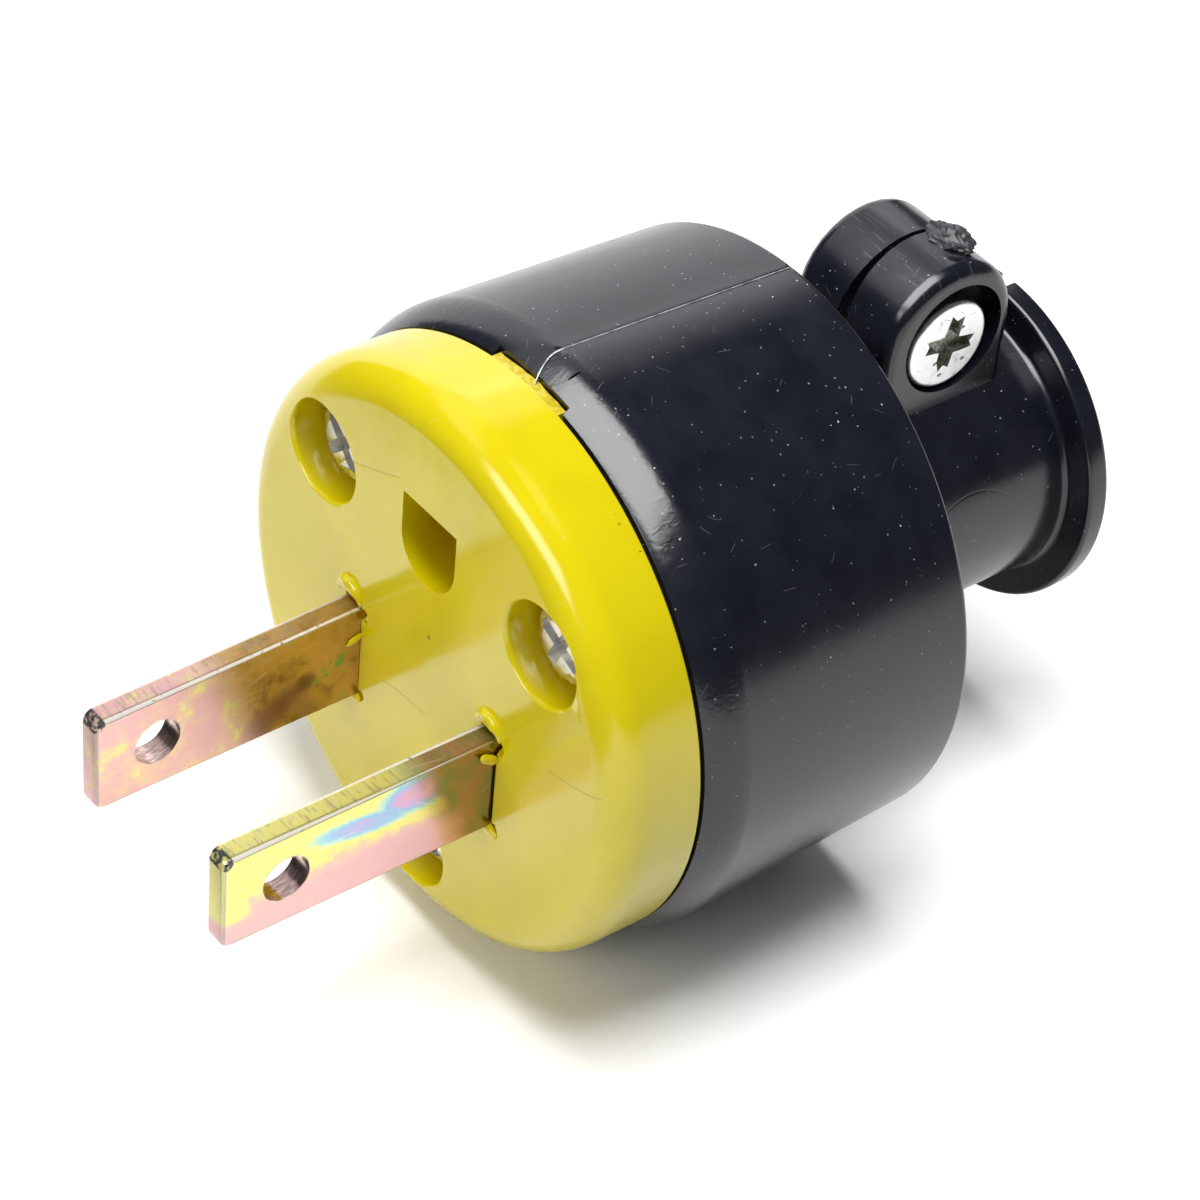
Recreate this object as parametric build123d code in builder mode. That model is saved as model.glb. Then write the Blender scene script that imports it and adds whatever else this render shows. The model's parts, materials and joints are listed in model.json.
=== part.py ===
from build123d import *
import os
from math import cos, radians, sin

# A rewirable two-pin flat plug that lies on its side, blades towards -Y, cord end towards +Y.
# Depth runs from the front face (0) towards the cord, height from the plug axis upwards.

# Blades
blade_spacing = 12.7
blade_width = 6.35
blade_thickness = 1.5
blade_reach = 17.1
blade_drop = 2.9
blade_hole_d = 2.9
blade_hole_reach = 13.2
tip_corner = 0.7
blade_bevel = 0.3
shoulder_width = 9.4
shoulder_length = 2.2
tab_width = 8.0
tab_end = 19.0

# Front cover
cover_r = 17.5
cover_depth = 5.5
cover_edge = 2.2
cover_wall = 2.6
boss_wall = 1.2
spigot_length = 3.0
spigot_wall = 1.7
spigot_gap = 0.15
slot_gap = 0.05
blade_block_wall = 2.2
blade_block_end = 0.5
partition_t = 1.5
partition_end = 18.5
partition_below = 6.0
key_width = 5.8
key_length = 0.6
key_gap = 0.1

# Ground opening of the cover, left empty on a two-pin plug
ground_width = 4.8
ground_rise = 8.2
ground_flat = 2.5
ground_wall = 1.3

# Screws of the front cover
screw_inset = 1.95
screw_angles = {"upper_right": 39.7, "upper_left": 140.3, "lower": 270.0}
recess_r = 3.0
recess_edge = 0.2
head_sunk = 1.2
cover_head_r = 2.6
cover_head_h = 1.8
cover_head_edge = 0.7
cover_shank_r = 1.5
cover_screw_length = 10.0
cover_hole_gap = 0.2

# Threaded inserts in the posts of the shell
post_r = 3.1
insert_r = 2.2
insert_length = 6.0
thread_gap = 0.05
post_hole_depth = 8.0

# Shell
seam_gap = 0.3
rim_r = 17.5
rim_round = 2.4
shell_r = 18.45
back_r = 17.8
back_depth = 23.9
back_edge = 0.25
shell_wall = 3.0
back_wall = 3.0
neck_r = 8.6
neck_root = 0.4
cord_bore_r = 5.5
cord_mouth = 0.6
flange_r = 10.6
flange_t = 1.5
flange_edge = 0.3
plug_depth = 41.15

# Split clamp of the neck
ear_depth = 32.6
ear_rise = 11.95
ear_r = 4.75
ear_reach = 4.15
ear_edge = 0.4
slit_top = 0.3
slit_neck = 1.5
slit_start = 25.6
counterbore_r = 3.5
counterbore_depth = 2.1
counterbore_shift = 0.25
clamp_sag = 0.4
clamp_head_r = 2.85
clamp_head_h = 2.0
clamp_shank_r = 1.5
clamp_hole_gap = 0.4
nut_flats = 5.5
nut_t = 2.4
nut_gap = 0.1
nut_sunk = 0.5

# Terminal screws and the plates that clamp the wires
terminal_depth = 15.2
terminal_head_r = 3.0
terminal_head_h = 2.0
terminal_shank_r = 1.7
terminal_length = 5.6
wire_plate_side = 7.4
wire_plate_t = 1.6
wire_plate_gap = 0.15
wire_groove_r = 0.9
wire_groove_out = 2.6

# Cross recess of the screw heads, as shares of the head's radius
cross_span = 0.62
cross_slot = 0.17
cross_depth = 0.4

# How near a corner or an edge lies to the size that it is chosen by
near = 0.01

# Places worked out from the sizes
axis_z = shell_r
face_y = (blade_reach - plug_depth) / 2
plug_axis = Axis((0, 0, axis_z), (0, 1, 0))
blade_x = blade_spacing / 2
bore_r = back_r - shell_wall
screw_pitch_r = bore_r - screw_inset
spigot_r = bore_r - spigot_gap
cover_back = cover_depth + spigot_length
seat_depth = head_sunk + cover_head_h
rim_front = cover_depth + seam_gap
notch_end = cover_depth + key_length + key_gap
chamber_back = back_depth - back_wall
flange_front = plug_depth - flange_t
clamp_rise = ear_rise - clamp_sag
counterbore_floor = ear_reach - counterbore_depth
nut_seat = ear_reach - nut_sunk - nut_t
plate_x = blade_x + blade_thickness / 2
head_x = plate_x + wire_plate_t


def station(depth):
    """Plane across the plug at a depth, facing the front: local x is X, local y is up."""
    return Plane(origin=(0, face_y + depth, axis_z), x_dir=(1, 0, 0), z_dir=(0, -1, 0))


def side_plane(x):
    """Plane facing +X: local x is the depth from the front face, local y the height."""
    return Plane(origin=(x, face_y, axis_z), x_dir=(0, 1, 0), z_dir=(1, 0, 0))


def screw_place(angle):
    """Centre of a cover screw, seen from the front."""
    return (screw_pitch_r * cos(radians(angle)), screw_pitch_r * sin(radians(angle)))


def finish(builder, name):
    """Label a finished piece and write it out."""
    builder.part.label = name
    export_step(builder.part, "parts/" + name + ".step")


os.makedirs("parts", exist_ok=True)

# Front cover: a cored disc with a spigot, screw bosses, blade blocks, a partition and a key
with BuildPart() as face_cover:
    with BuildSketch(Plane.XY.offset(axis_z)) as cover_profile:
        with BuildLine():
            Polyline(
                (0, face_y),
                (cover_r, face_y),
                (cover_r, face_y + cover_depth),
                (spigot_r, face_y + cover_depth),
                (spigot_r, face_y + cover_back),
                (0, face_y + cover_back),
                close=True,
            )
        make_face()
        fillet(cover_profile.vertices().group_by(Axis.Y)[0].sort_by(Axis.X)[-1], cover_edge)
    revolve(axis=plug_axis)
    with BuildSketch(station(cover_back)):
        Circle(spigot_r - spigot_wall)
        for angle in screw_angles.values():
            with Locations(screw_place(angle)):
                Circle(recess_r + boss_wall, mode=Mode.SUBTRACT)
        with Locations((-blade_x, -blade_drop), (blade_x, -blade_drop)):
            Rectangle(
                blade_thickness + 2 * blade_block_wall,
                shoulder_width + 2 * blade_block_end,
                mode=Mode.SUBTRACT,
            )
        with Locations((0, ground_rise)):
            Rectangle(
                ground_width + 2 * ground_wall,
                2 * (ground_flat + ground_wall),
                mode=Mode.SUBTRACT,
            )
    extrude(amount=cover_back - cover_wall, mode=Mode.SUBTRACT)
    with BuildSketch(station(partition_end)):
        with Locations((0, -blade_drop - partition_below)):
            Rectangle(
                partition_t,
                partition_below + blade_drop + ground_rise - ground_flat,
                align=(Align.CENTER, Align.MIN),
            )
    extrude(amount=partition_end - cover_wall)
    with BuildSketch(station(cover_depth + key_length)):
        Circle(cover_r)
        with Locations((0, bore_r)):
            Rectangle(key_width, cover_r, align=(Align.CENTER, Align.MIN), mode=Mode.INTERSECT)
    extrude(amount=key_length)
    with BuildSketch(station(cover_back)):
        with Locations((0, ground_rise)):
            Circle(ground_width / 2)
            Rectangle(ground_width, ground_flat, align=(Align.CENTER, Align.MIN))
        with Locations((-blade_x, -blade_drop), (blade_x, -blade_drop)):
            Rectangle(blade_thickness + 2 * slot_gap, blade_width + 2 * slot_gap)
        for angle in screw_angles.values():
            with Locations(screw_place(angle)):
                Circle(cover_shank_r + cover_hole_gap)
    extrude(amount=cover_back, mode=Mode.SUBTRACT)
    with BuildSketch(station(seat_depth)):
        for angle in screw_angles.values():
            with Locations(screw_place(angle)):
                Circle(recess_r)
    extrude(amount=seat_depth, mode=Mode.SUBTRACT)
    with BuildSketch(station(0)):
        for angle in screw_angles.values():
            with Locations(screw_place(angle)):
                Circle(recess_r + recess_edge)
    extrude(amount=-recess_edge, taper=45, mode=Mode.SUBTRACT)
finish(face_cover, "face_cover")

# Two ears of the cord clamp, as one block before the slit parts them
with BuildPart() as clamp_ears:
    with BuildSketch(side_plane(-ear_reach)):
        with Locations((ear_depth, ear_rise)):
            Circle(ear_r)
        with Locations((ear_depth, ear_rise)):
            Rectangle(2 * ear_r, ear_rise, align=(Align.CENTER, Align.MAX))
    extrude(amount=2 * ear_reach)
    ear_ends = clamp_ears.faces().filter_by(Axis.X).edges()
    chamfer(ear_ends.filter_by_position(Axis.Z, axis_z + neck_r / 2, 2 * axis_z + ear_r), ear_edge)

# Shell: the turned housing, neck and flange, the posts, the split clamp and the key's notch
with BuildPart() as body_shell:
    with BuildSketch(Plane.XY.offset(axis_z)) as shell_profile:
        with BuildLine():
            TangentArc(
                (shell_r, face_y + rim_front + rim_round),
                (rim_r, face_y + rim_front),
                tangent=(0, -1),
            )
            Polyline(
                (rim_r, face_y + rim_front),
                (bore_r, face_y + rim_front),
                (bore_r, face_y + chamber_back),
                (cord_bore_r, face_y + chamber_back),
                (cord_bore_r, face_y + plug_depth),
                (flange_r, face_y + plug_depth),
                (flange_r, face_y + flange_front),
                (neck_r, face_y + flange_front),
                (neck_r, face_y + back_depth),
                (back_r, face_y + back_depth),
                (shell_r, face_y + rim_front + rim_round),
            )
        make_face()
        corners = shell_profile.vertices()
        flange_corners = corners.group_by(Axis.Y)[-1].sort_by(Axis.X)
        chamfer(flange_corners[0], cord_mouth)
        corners = shell_profile.vertices()
        flange_rim = corners.filter_by_position(Axis.X, flange_r - near, flange_r + near)
        chamfer(flange_rim, flange_edge)
        corners = shell_profile.vertices()
        neck_corners = corners.filter_by_position(Axis.X, neck_r - near, neck_r + near)
        chamfer(neck_corners, neck_root)
        corners = shell_profile.vertices()
        back_corner = corners.filter_by_position(Axis.X, back_r - near, back_r + near)
        chamfer(back_corner, back_edge)
    revolve(axis=plug_axis)
    with BuildSketch(station(chamber_back)):
        for angle in screw_angles.values():
            with Locations(screw_place(angle)):
                Circle(post_r)
    extrude(amount=chamber_back - cover_back)
    add(clamp_ears.part)
    with BuildSketch(station(plug_depth)):
        Circle(cord_bore_r)
    extrude(amount=plug_depth - chamber_back, mode=Mode.SUBTRACT)
    with BuildSketch(station(plug_depth)):
        with BuildLine():
            Polyline(
                (slit_top / 2, ear_rise + 2 * ear_r),
                (slit_neck / 2, neck_r),
                (slit_neck / 2, 0),
                (-slit_neck / 2, 0),
                (-slit_neck / 2, neck_r),
                (-slit_top / 2, ear_rise + 2 * ear_r),
                close=True,
            )
        make_face()
    extrude(amount=plug_depth - slit_start, mode=Mode.SUBTRACT)
    with BuildSketch(side_plane(ear_reach)):
        with Locations((ear_depth + counterbore_shift, ear_rise)):
            Circle(counterbore_r)
    extrude(amount=-counterbore_depth, mode=Mode.SUBTRACT)
    with BuildSketch(side_plane(-ear_reach)):
        with Locations((ear_depth, clamp_rise)):
            Circle(clamp_shank_r + clamp_hole_gap)
    extrude(amount=2 * ear_reach, mode=Mode.SUBTRACT)
    with BuildSketch(side_plane(-ear_reach)):
        with Locations((ear_depth, clamp_rise)):
            RegularPolygon(nut_flats / 2 + nut_gap, 6, major_radius=False)
    extrude(amount=ear_reach - nut_seat, mode=Mode.SUBTRACT)
    with BuildSketch(station(cover_back + insert_length)):
        for angle in screw_angles.values():
            with Locations(screw_place(angle)):
                Circle(insert_r)
    extrude(amount=insert_length, mode=Mode.SUBTRACT)
    with BuildSketch(station(cover_back + post_hole_depth)):
        for angle in screw_angles.values():
            with Locations(screw_place(angle)):
                Circle(cover_shank_r + cover_hole_gap)
    extrude(amount=post_hole_depth, mode=Mode.SUBTRACT)
    with BuildSketch(station(notch_end)):
        with Locations((0, bore_r - key_gap)):
            Rectangle(key_width + 2 * key_gap, shell_r, align=(Align.CENTER, Align.MIN))
    extrude(amount=notch_end - rim_front, mode=Mode.SUBTRACT)
finish(body_shell, "body_shell")

# Blades: stamped strips with bevelled edges, a locking hole, shoulders and a drilled tab
for side in ("left", "right"):
    blade_side = -1 if side == "left" else 1
    with BuildPart() as blade:
        with BuildSketch(side_plane(blade_side * blade_x - blade_thickness / 2)) as outline:
            with Locations(((cover_back - blade_reach) / 2, -blade_drop)):
                Rectangle(blade_reach + cover_back, blade_width)
            chamfer(outline.vertices().group_by(Axis.Y)[0], tip_corner)
        extrude(amount=blade_thickness)
        long_edges = blade.faces().filter_by(Axis.X).edges()
        strip_y = (face_y - 2 * blade_reach, face_y + cover_back - near)
        chamfer(long_edges.filter_by_position(Axis.Y, *strip_y), blade_bevel)
        with BuildSketch(side_plane(blade_side * blade_x - blade_thickness / 2)):
            with Locations((cover_back, -blade_drop)):
                Rectangle(shoulder_length, shoulder_width, align=(Align.MIN, Align.CENTER))
                Rectangle(tab_end - cover_back, tab_width, align=(Align.MIN, Align.CENTER))
        extrude(amount=blade_thickness)
        with BuildSketch(side_plane(blade_side * blade_x - blade_thickness / 2)):
            with Locations((-blade_hole_reach, -blade_drop)):
                Circle(blade_hole_d / 2)
            with Locations((terminal_depth, -blade_drop)):
                Circle(terminal_shank_r + thread_gap)
        extrude(amount=blade_thickness, mode=Mode.SUBTRACT)
    finish(blade, "blade_" + side)

# Wire clamp plates: square plates with two grooves that grip the bare wires on the tab
for side in ("left", "right"):
    blade_side = -1 if side == "left" else 1
    with BuildPart() as wire_plate:
        with BuildSketch(side_plane(blade_side * plate_x)):
            with Locations((terminal_depth, -blade_drop)):
                Rectangle(wire_plate_side, wire_plate_side)
                Circle(terminal_shank_r + wire_plate_gap, mode=Mode.SUBTRACT)
        extrude(amount=blade_side * wire_plate_t)
        with BuildSketch(station(terminal_depth + wire_plate_side)):
            with Locations(
                (blade_side * plate_x, -blade_drop + wire_groove_out),
                (blade_side * plate_x, -blade_drop - wire_groove_out),
            ):
                Circle(wire_groove_r)
        extrude(amount=2 * wire_plate_side, mode=Mode.SUBTRACT)
    finish(wire_plate, "wire_plate_" + side)

# Terminal screws, put in from the sides of the plug
for side in ("left", "right"):
    blade_side = -1 if side == "left" else 1
    with BuildPart() as terminal_screw:
        with BuildSketch(side_plane(blade_side * head_x)):
            with Locations((terminal_depth, -blade_drop)):
                Circle(terminal_head_r)
        extrude(amount=blade_side * terminal_head_h)
        with BuildSketch(side_plane(blade_side * head_x)):
            with Locations((terminal_depth, -blade_drop)):
                Circle(terminal_shank_r)
        extrude(amount=-blade_side * terminal_length)
        with BuildSketch(side_plane(blade_side * (head_x + terminal_head_h))):
            with Locations((terminal_depth, -blade_drop)):
                Rectangle(2 * cross_span * terminal_head_r, 2 * cross_slot * terminal_head_r)
                Rectangle(2 * cross_slot * terminal_head_r, 2 * cross_span * terminal_head_r)
        extrude(amount=-blade_side * cross_depth * terminal_head_r, mode=Mode.SUBTRACT)
    finish(terminal_screw, "terminal_screw_" + side)

# Cover screws, one in each recess, and the threaded inserts that they run into
for place, angle in screw_angles.items():
    with BuildPart() as cover_screw:
        with BuildSketch(station(seat_depth)):
            with Locations(screw_place(angle)):
                Circle(cover_head_r)
        extrude(amount=cover_head_h)
        head_top = cover_screw.faces().sort_by(Axis.Y)[0]
        chamfer(head_top.edges(), cover_head_edge)
        with BuildSketch(station(seat_depth + cover_screw_length)):
            with Locations(screw_place(angle)):
                Circle(cover_shank_r)
        extrude(amount=cover_screw_length)
        with BuildSketch(station(head_sunk)):
            with Locations(screw_place(angle)):
                Rectangle(2 * cross_span * cover_head_r, 2 * cross_slot * cover_head_r)
                Rectangle(2 * cross_slot * cover_head_r, 2 * cross_span * cover_head_r)
        extrude(amount=-cross_depth * cover_head_r, mode=Mode.SUBTRACT)
    finish(cover_screw, "cover_screw_" + place)
    with BuildPart() as insert:
        with BuildSketch(station(cover_back + insert_length)):
            with Locations(screw_place(angle)):
                Circle(insert_r)
                Circle(cover_shank_r + thread_gap, mode=Mode.SUBTRACT)
        extrude(amount=insert_length)
    finish(insert, "insert_" + place)

# Clamp screw and its captive nut, which pull the two ears together
with BuildPart() as clamp_screw:
    with BuildSketch(side_plane(counterbore_floor)):
        with Locations((ear_depth, clamp_rise)):
            Circle(clamp_head_r)
    extrude(amount=clamp_head_h)
    with BuildSketch(side_plane(counterbore_floor)):
        with Locations((ear_depth, clamp_rise)):
            Circle(clamp_shank_r)
    extrude(amount=-counterbore_floor - nut_seat - nut_t)
    with BuildSketch(side_plane(counterbore_floor + clamp_head_h)):
        with Locations((ear_depth, clamp_rise)):
            Rectangle(2 * cross_span * clamp_head_r, 2 * cross_slot * clamp_head_r)
            Rectangle(2 * cross_slot * clamp_head_r, 2 * cross_span * clamp_head_r)
    extrude(amount=-cross_depth * clamp_head_r, mode=Mode.SUBTRACT)
finish(clamp_screw, "clamp_screw")

with BuildPart() as clamp_nut:
    with BuildSketch(side_plane(-nut_seat)):
        with Locations((ear_depth, clamp_rise)):
            RegularPolygon(nut_flats / 2, 6, major_radius=False)
            Circle(clamp_shank_r + thread_gap, mode=Mode.SUBTRACT)
    extrude(amount=-nut_t)
finish(clamp_nut, "clamp_nut")
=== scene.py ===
import json
import math
import random

import bmesh
import bpy
from mathutils import Matrix, Vector, noise


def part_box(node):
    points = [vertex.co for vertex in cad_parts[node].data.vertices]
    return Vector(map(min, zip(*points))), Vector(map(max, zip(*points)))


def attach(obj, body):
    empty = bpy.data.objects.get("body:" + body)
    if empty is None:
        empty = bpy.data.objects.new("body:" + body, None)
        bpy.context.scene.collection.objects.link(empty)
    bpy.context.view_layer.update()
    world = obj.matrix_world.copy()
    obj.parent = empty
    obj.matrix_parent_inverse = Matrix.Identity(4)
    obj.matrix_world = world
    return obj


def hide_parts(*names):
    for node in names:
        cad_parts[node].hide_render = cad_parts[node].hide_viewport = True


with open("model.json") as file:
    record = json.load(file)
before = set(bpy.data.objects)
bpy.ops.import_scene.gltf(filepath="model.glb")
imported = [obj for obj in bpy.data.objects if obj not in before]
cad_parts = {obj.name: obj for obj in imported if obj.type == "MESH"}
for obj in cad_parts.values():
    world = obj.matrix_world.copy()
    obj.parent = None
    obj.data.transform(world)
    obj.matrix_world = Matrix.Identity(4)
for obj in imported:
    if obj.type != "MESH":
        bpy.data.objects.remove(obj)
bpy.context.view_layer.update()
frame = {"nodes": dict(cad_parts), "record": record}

# The shapes below are modelled in millimetres from the middle of the front face:
# X across the plug, Y the depth towards the cord, Z the height above the plug's axis.
MM = 0.001
NEAR = 0.01
MERGE = 0.0005
TURN_STEPS = 240
HEAD_STEPS = 96
HOLE_STEPS = 64
ROUND_STEPS = 8
# A cutter runs past the face that it opens, and joined pieces overlap
PAST = 1.0
OVERLAP = 0.2

# Places on the plug, read from the frame
FACE_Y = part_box("face_cover")[0].y
shell_low, shell_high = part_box("body_shell")
AXIS_Z = (shell_low.z + shell_high.z) / 2
TO_FRAME = Matrix.Translation((0, FACE_Y, AXIS_Z)) @ Matrix.Scale(MM, 4)
FROM_FRAME = TO_FRAME.inverted()


def place_of(node):
    """Lowest, middle and highest corner of a node, in millimetres from the middle of the face."""
    low, high = (FROM_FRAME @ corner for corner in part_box(node))
    return low, (low + high) / 2, high


SCREW_NODES = ("cover_screw_upper_right", "cover_screw_upper_left", "cover_screw_lower")
screw_places = {node: place_of(node)[1] for node in SCREW_NODES}

# Front cover
COVER_R = 17.5
COVER_DEPTH = 5.5
COVER_EDGE = 2.2
COVER_BACK_EDGE = 0.16
COVER_WALL = 2.6
COVER_END = 8.5
SPIGOT_R = 14.65
SPIGOT_WALL = 1.7
BOSS_R = 4.2
PARTITION_T = 1.5
PARTITION_HEIGHTS = (-8.9, 5.7)
PARTITION_END = 18.5
KEY_WIDTH = 5.8
KEY_END = 6.03
KEY_LEAN = 0.25
KEY_RAGGED = 0.06
KEY_TRIMS = 15
KEY_SUNK = 0.05
SEAT_DEPTH = 3.0
RECESS_R = 3.0
RECESS_MOUTH = 0.28
RECESS_LIP = 0.03
RECESS_FRONT = 0.3
SCREW_HOLE_R = 1.7
GROUND_R = 2.4
GROUND_RISE = 8.2
GROUND_FLAT = 2.5
GROUND_WALL = 1.3
GROUND_ROUND = 0.999
COVER_HEAD_R = 2.6
COVER_HEAD_TOP = ((0, 0), (1.5, 0.05), (2.2, 0.35), (COVER_HEAD_R, 0.9))
COVER_CROSS_DEPTH = 0.95
# Scars on the heads: how deep, how many per millimetre, how much is worn off and down to which depth
SCAR_DEPTH = 0.16
SCARS_PER_MM = 1.6
SCAR_WEAR = 0.05
SCAR_END = 0.85

# Blades
BLADE_X = 6.35
BLADE_T = 1.5
BLADE_W = 6.35
BLADE_RISE = -2.9
BLADE_TIP = -17.1
BLADE_SEAT = 8.5
TAB_END = 19.0
TAB_W = 8.0
SHOULDER_W = 9.4
SHOULDER_END = 10.7
TIP_TOP = 0.75
TIP_BOTTOM = 0.55
BLADE_EDGE = 0.28
HOLE_R = 1.43
HOLE_DEPTH = -13.2
TERMINAL_DEPTH = 15.2
TERMINAL_HOLE_R = 1.75
SLOT_GAP = 0.03
BLOCK_WALL = 2.2
BLOCK_END = 0.5
DROOP = math.tan(math.radians(1.75))
RIGHT_LEAN = 0.35 / 17.1

# Shell
SHELL_R = 18.45
RIM_R = 17.5
RIM_FRONT = 5.7
RIM_ROUND = 1.387
RIM_BACK = 8.2
RIM_CORNER = RIM_BACK - 1.388
BACK_R = 17.8
BACK_DEPTH = 23.9
BACK_EDGE = 0.45
SHELL_BORE = 14.8
CHAMBER_BACK = 20.9
NECK_R = 8.6
NECK_ROOT = 0.5
FLANGE_R = 10.6
FLANGE_ROOT = 0.45
FLANGE_EDGES = (0.3, 0.35)
FLANGE_FRONT = 39.65
PLUG_DEPTH = 41.15
CORD_BORE_R = 5.5
CORD_BORE_EDGE = 0.6
POST_R = 3.1
INSERT_R = 2.2
INSERT_END = 14.5
POST_HOLE_END = 16.5
NOTCH_WIDTH = KEY_WIDTH + 0.3
NOTCH_HEIGHT = 6.0
NOTCH_RISE = SHELL_BORE + 2.8
NOTCH_END = 6.1

# Split clamp
EAR_DEPTH = 32.6
EAR_RISE = 11.95
EAR_R = 4.75
EAR_REACH = 4.15
EAR_EDGE = 0.85
EAR_FOOT = 4.0
SLIT_TOP = 0.3
SLIT_NECK = 1.5
SLIT_START = 25.6
SINK_R = 3.5
SINK_DEPTH = 2.1
SINK_SHIFT = 0.25
CLAMP_RISE = 11.55
CLAMP_HOLE_R = 1.9
CLAMP_HEAD_R = 2.85
CLAMP_HEAD_TOP = 4.02
CLAMP_HEAD_H = 2.0
CLAMP_HEAD_EDGE = 0.32
CLAMP_CROSS_DEPTH = 0.6
SCREW_SHANK_R = 1.5
NUT_FLATS = 5.7
NUT_SEAT = 1.25
NUT_POCKET = 5.0

# Chips and burrs: half sizes, place, turn and the number that shapes each pebble, then how ragged it is
PEBBLE_LUMP = 0.28
PEBBLE_LUMPS = 1.7
PEBBLE_RAGS = 5.0
COVER_CHIPS = (
    ((0.35, 0.5, 0.5), (-5.35, 0.0, -0.35), 0, 1),
    ((0.3, 0.4, 0.4), (-5.35, 0.0, -6.2), 0, 2),
    ((0.35, 0.5, 0.5), (7.35, 0.0, -0.45), 0, 3),
    ((0.35, 0.5, 0.5), (7.3, 0.0, -6.4), 0, 4),
    ((0.13, 0.12, 0.13), (9.6, 4.83, 14.63), 0, 5),
    ((0.11, 0.10, 0.11), (10.99, 5.2, 13.62), 0, 6),
)
SHELL_CHIPS = (
    ((0.07, 0.45, 0.35), (1.95, 7.35, 18.2), 0, 1),
    ((0.35, 0.35, 0.22), (-4.05, 30.2, 16.2), 0, 3),
)
EAR_GATE = ((1.6, 1.05, 0.80), (1.45, 34.15, 16.6), -16, 4, 0.22)
BURR_PEBBLES = {
    "curl_left": ((0.13, 0.62, 0.24), (-5.52, -0.42, -1.95), 18, 2),
    "curl_right": ((0.17, 0.80, 0.30), (7.18, -0.55, -0.95), -38, 3),
    "crumb_left": ((0.75, 0.22, 0.42), (-6.1, 0, -6.55), 0, 5),
    "crumb_right": ((0.75, 0.24, 0.45), (6.9, 0, -6.6), 0, 6),
}
BURR_ARCHES = {"arch_left": (-6.75, 0.02, 0.10), "arch_right": (6.25, 0.02, 0.10)}
BURR_ARCH_R = 1.0
BURR_ARCH_THICK = 0.42

# Parting line along the top of the shell, between two grooves, and its fin down the rim
LINE_HALF = 0.045
LINE_GROOVE = 0.13
LINE_DEPTH = 0.05
LINE_START = 7.6
LINE_SHIFT = -0.02
LINE_EDGE = 0.02
FLASH_R = 0.10
FLASH_BOW = RIM_BACK - RIM_FRONT + 1.0
FLASH_DROP = 3.52
FLASH_TURN = 86
FLASH_SWEEP = 50
FLASH_START = 7.7
FLASH_LEAN = 0.88
FLASH_RUN = 2.2
FLASH_BEND = 1.6
FLASH_SINK_START = 6.6
FLASH_SINK_RUN = 1.4
FLASH_SINK = (0.02, 0.09)

# Torn cross slots: the outline of each arm, from the middle of the head
CLAMP_CROSS = (
    [(-0.62, -0.1), (0.66, -0.1), (0.86, 1.05), (0.98, 1.66), (0.42, 1.52), (0.02, 1.97), (-0.28, 0.95)],
    [(0, 0.6), (0, -0.62), (0.95, -0.72), (1.82, -0.72), (1.62, -0.32), (1.92, 0.1), (0.98, 0.28)],
    [(0.62, 0.1), (-0.6, 0.1), (-0.72, -0.85), (-0.52, -1.66), (-0.18, -1.34), (0.24, -1.6), (0.42, -0.82)],
    [(0.1, -0.52), (0.1, 0.66), (-0.9, 0.7), (-1.66, 0.8), (-1.46, 0.4), (-1.7, -0.1), (-0.86, -0.24)],
)
CLAMP_DENTS = ((-0.33, -1.95), (0.94, 0.91), (-0.8, -1.0), (1.3, -1.4))
CLAMP_DENT = (0.16, 0.14, 0.12)
COVER_CROSS = (
    [(-0.35, -0.1), (0.38, -0.1), (0.45, 1.85), (-0.25, 1.7)],
    [(0, 0.38), (0, -0.36), (1.9, -0.35), (1.75, 0.42)],
    [(0.36, 0.1), (-0.38, 0.1), (-0.4, -1.65), (0.33, -1.8)],
    [(0.1, -0.36), (0.1, 0.4), (-1.65, 0.45), (-1.8, -0.3)],
)
COVER_CROSS_TURNS = (23, 46, 66)

# Camera of the photograph, fitted to the blades, the rims and the flange
CAMERA_AZIMUTH = math.radians(48.95)
CAMERA_ELEVATION = math.radians(40.48)
CAMERA_ROLL = math.radians(5.77)
CAMERA_DISTANCE = 217.1 * MM
CAMERA_LENS = 116.0
AIM_DEPTH = 15.0 * MM
AIM_RIGHT = -2.17 * MM
AIM_UP = -1.60 * MM

# Finishes
COVER_COLOUR = (0.87, 0.73, 0.003)
COVER_COLOUR_DEEP = (0.82, 0.67, 0.002)
# Painted shade inside the cover's recesses and openings
COVER_RECESS_SHADE = (0.60, 0.36, 0.002)
COVER_PALE_SPECK = (0.95, 0.88, 0.42)
COVER_DARK_SPECK = (0.20, 0.13, 0.01)
COVER_SCRATCH = (0.95, 0.9, 0.55)
COVER_LINE = (0.45, 0.33, 0.02)
COVER_TRIMMED = ((0.28, (0.50, 0.33, 0.01)), (0.48, (0.72, 0.55, 0.01)), (0.72, (0.90, 0.82, 0.20)))
# Specks: cells per millimetre, size and the share of cells that hold one
COVER_PALE_SPECKS = (1.1, 0.11, 0.10)
COVER_DARK_SPECKS = (0.45, 0.055, 0.06)
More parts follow.
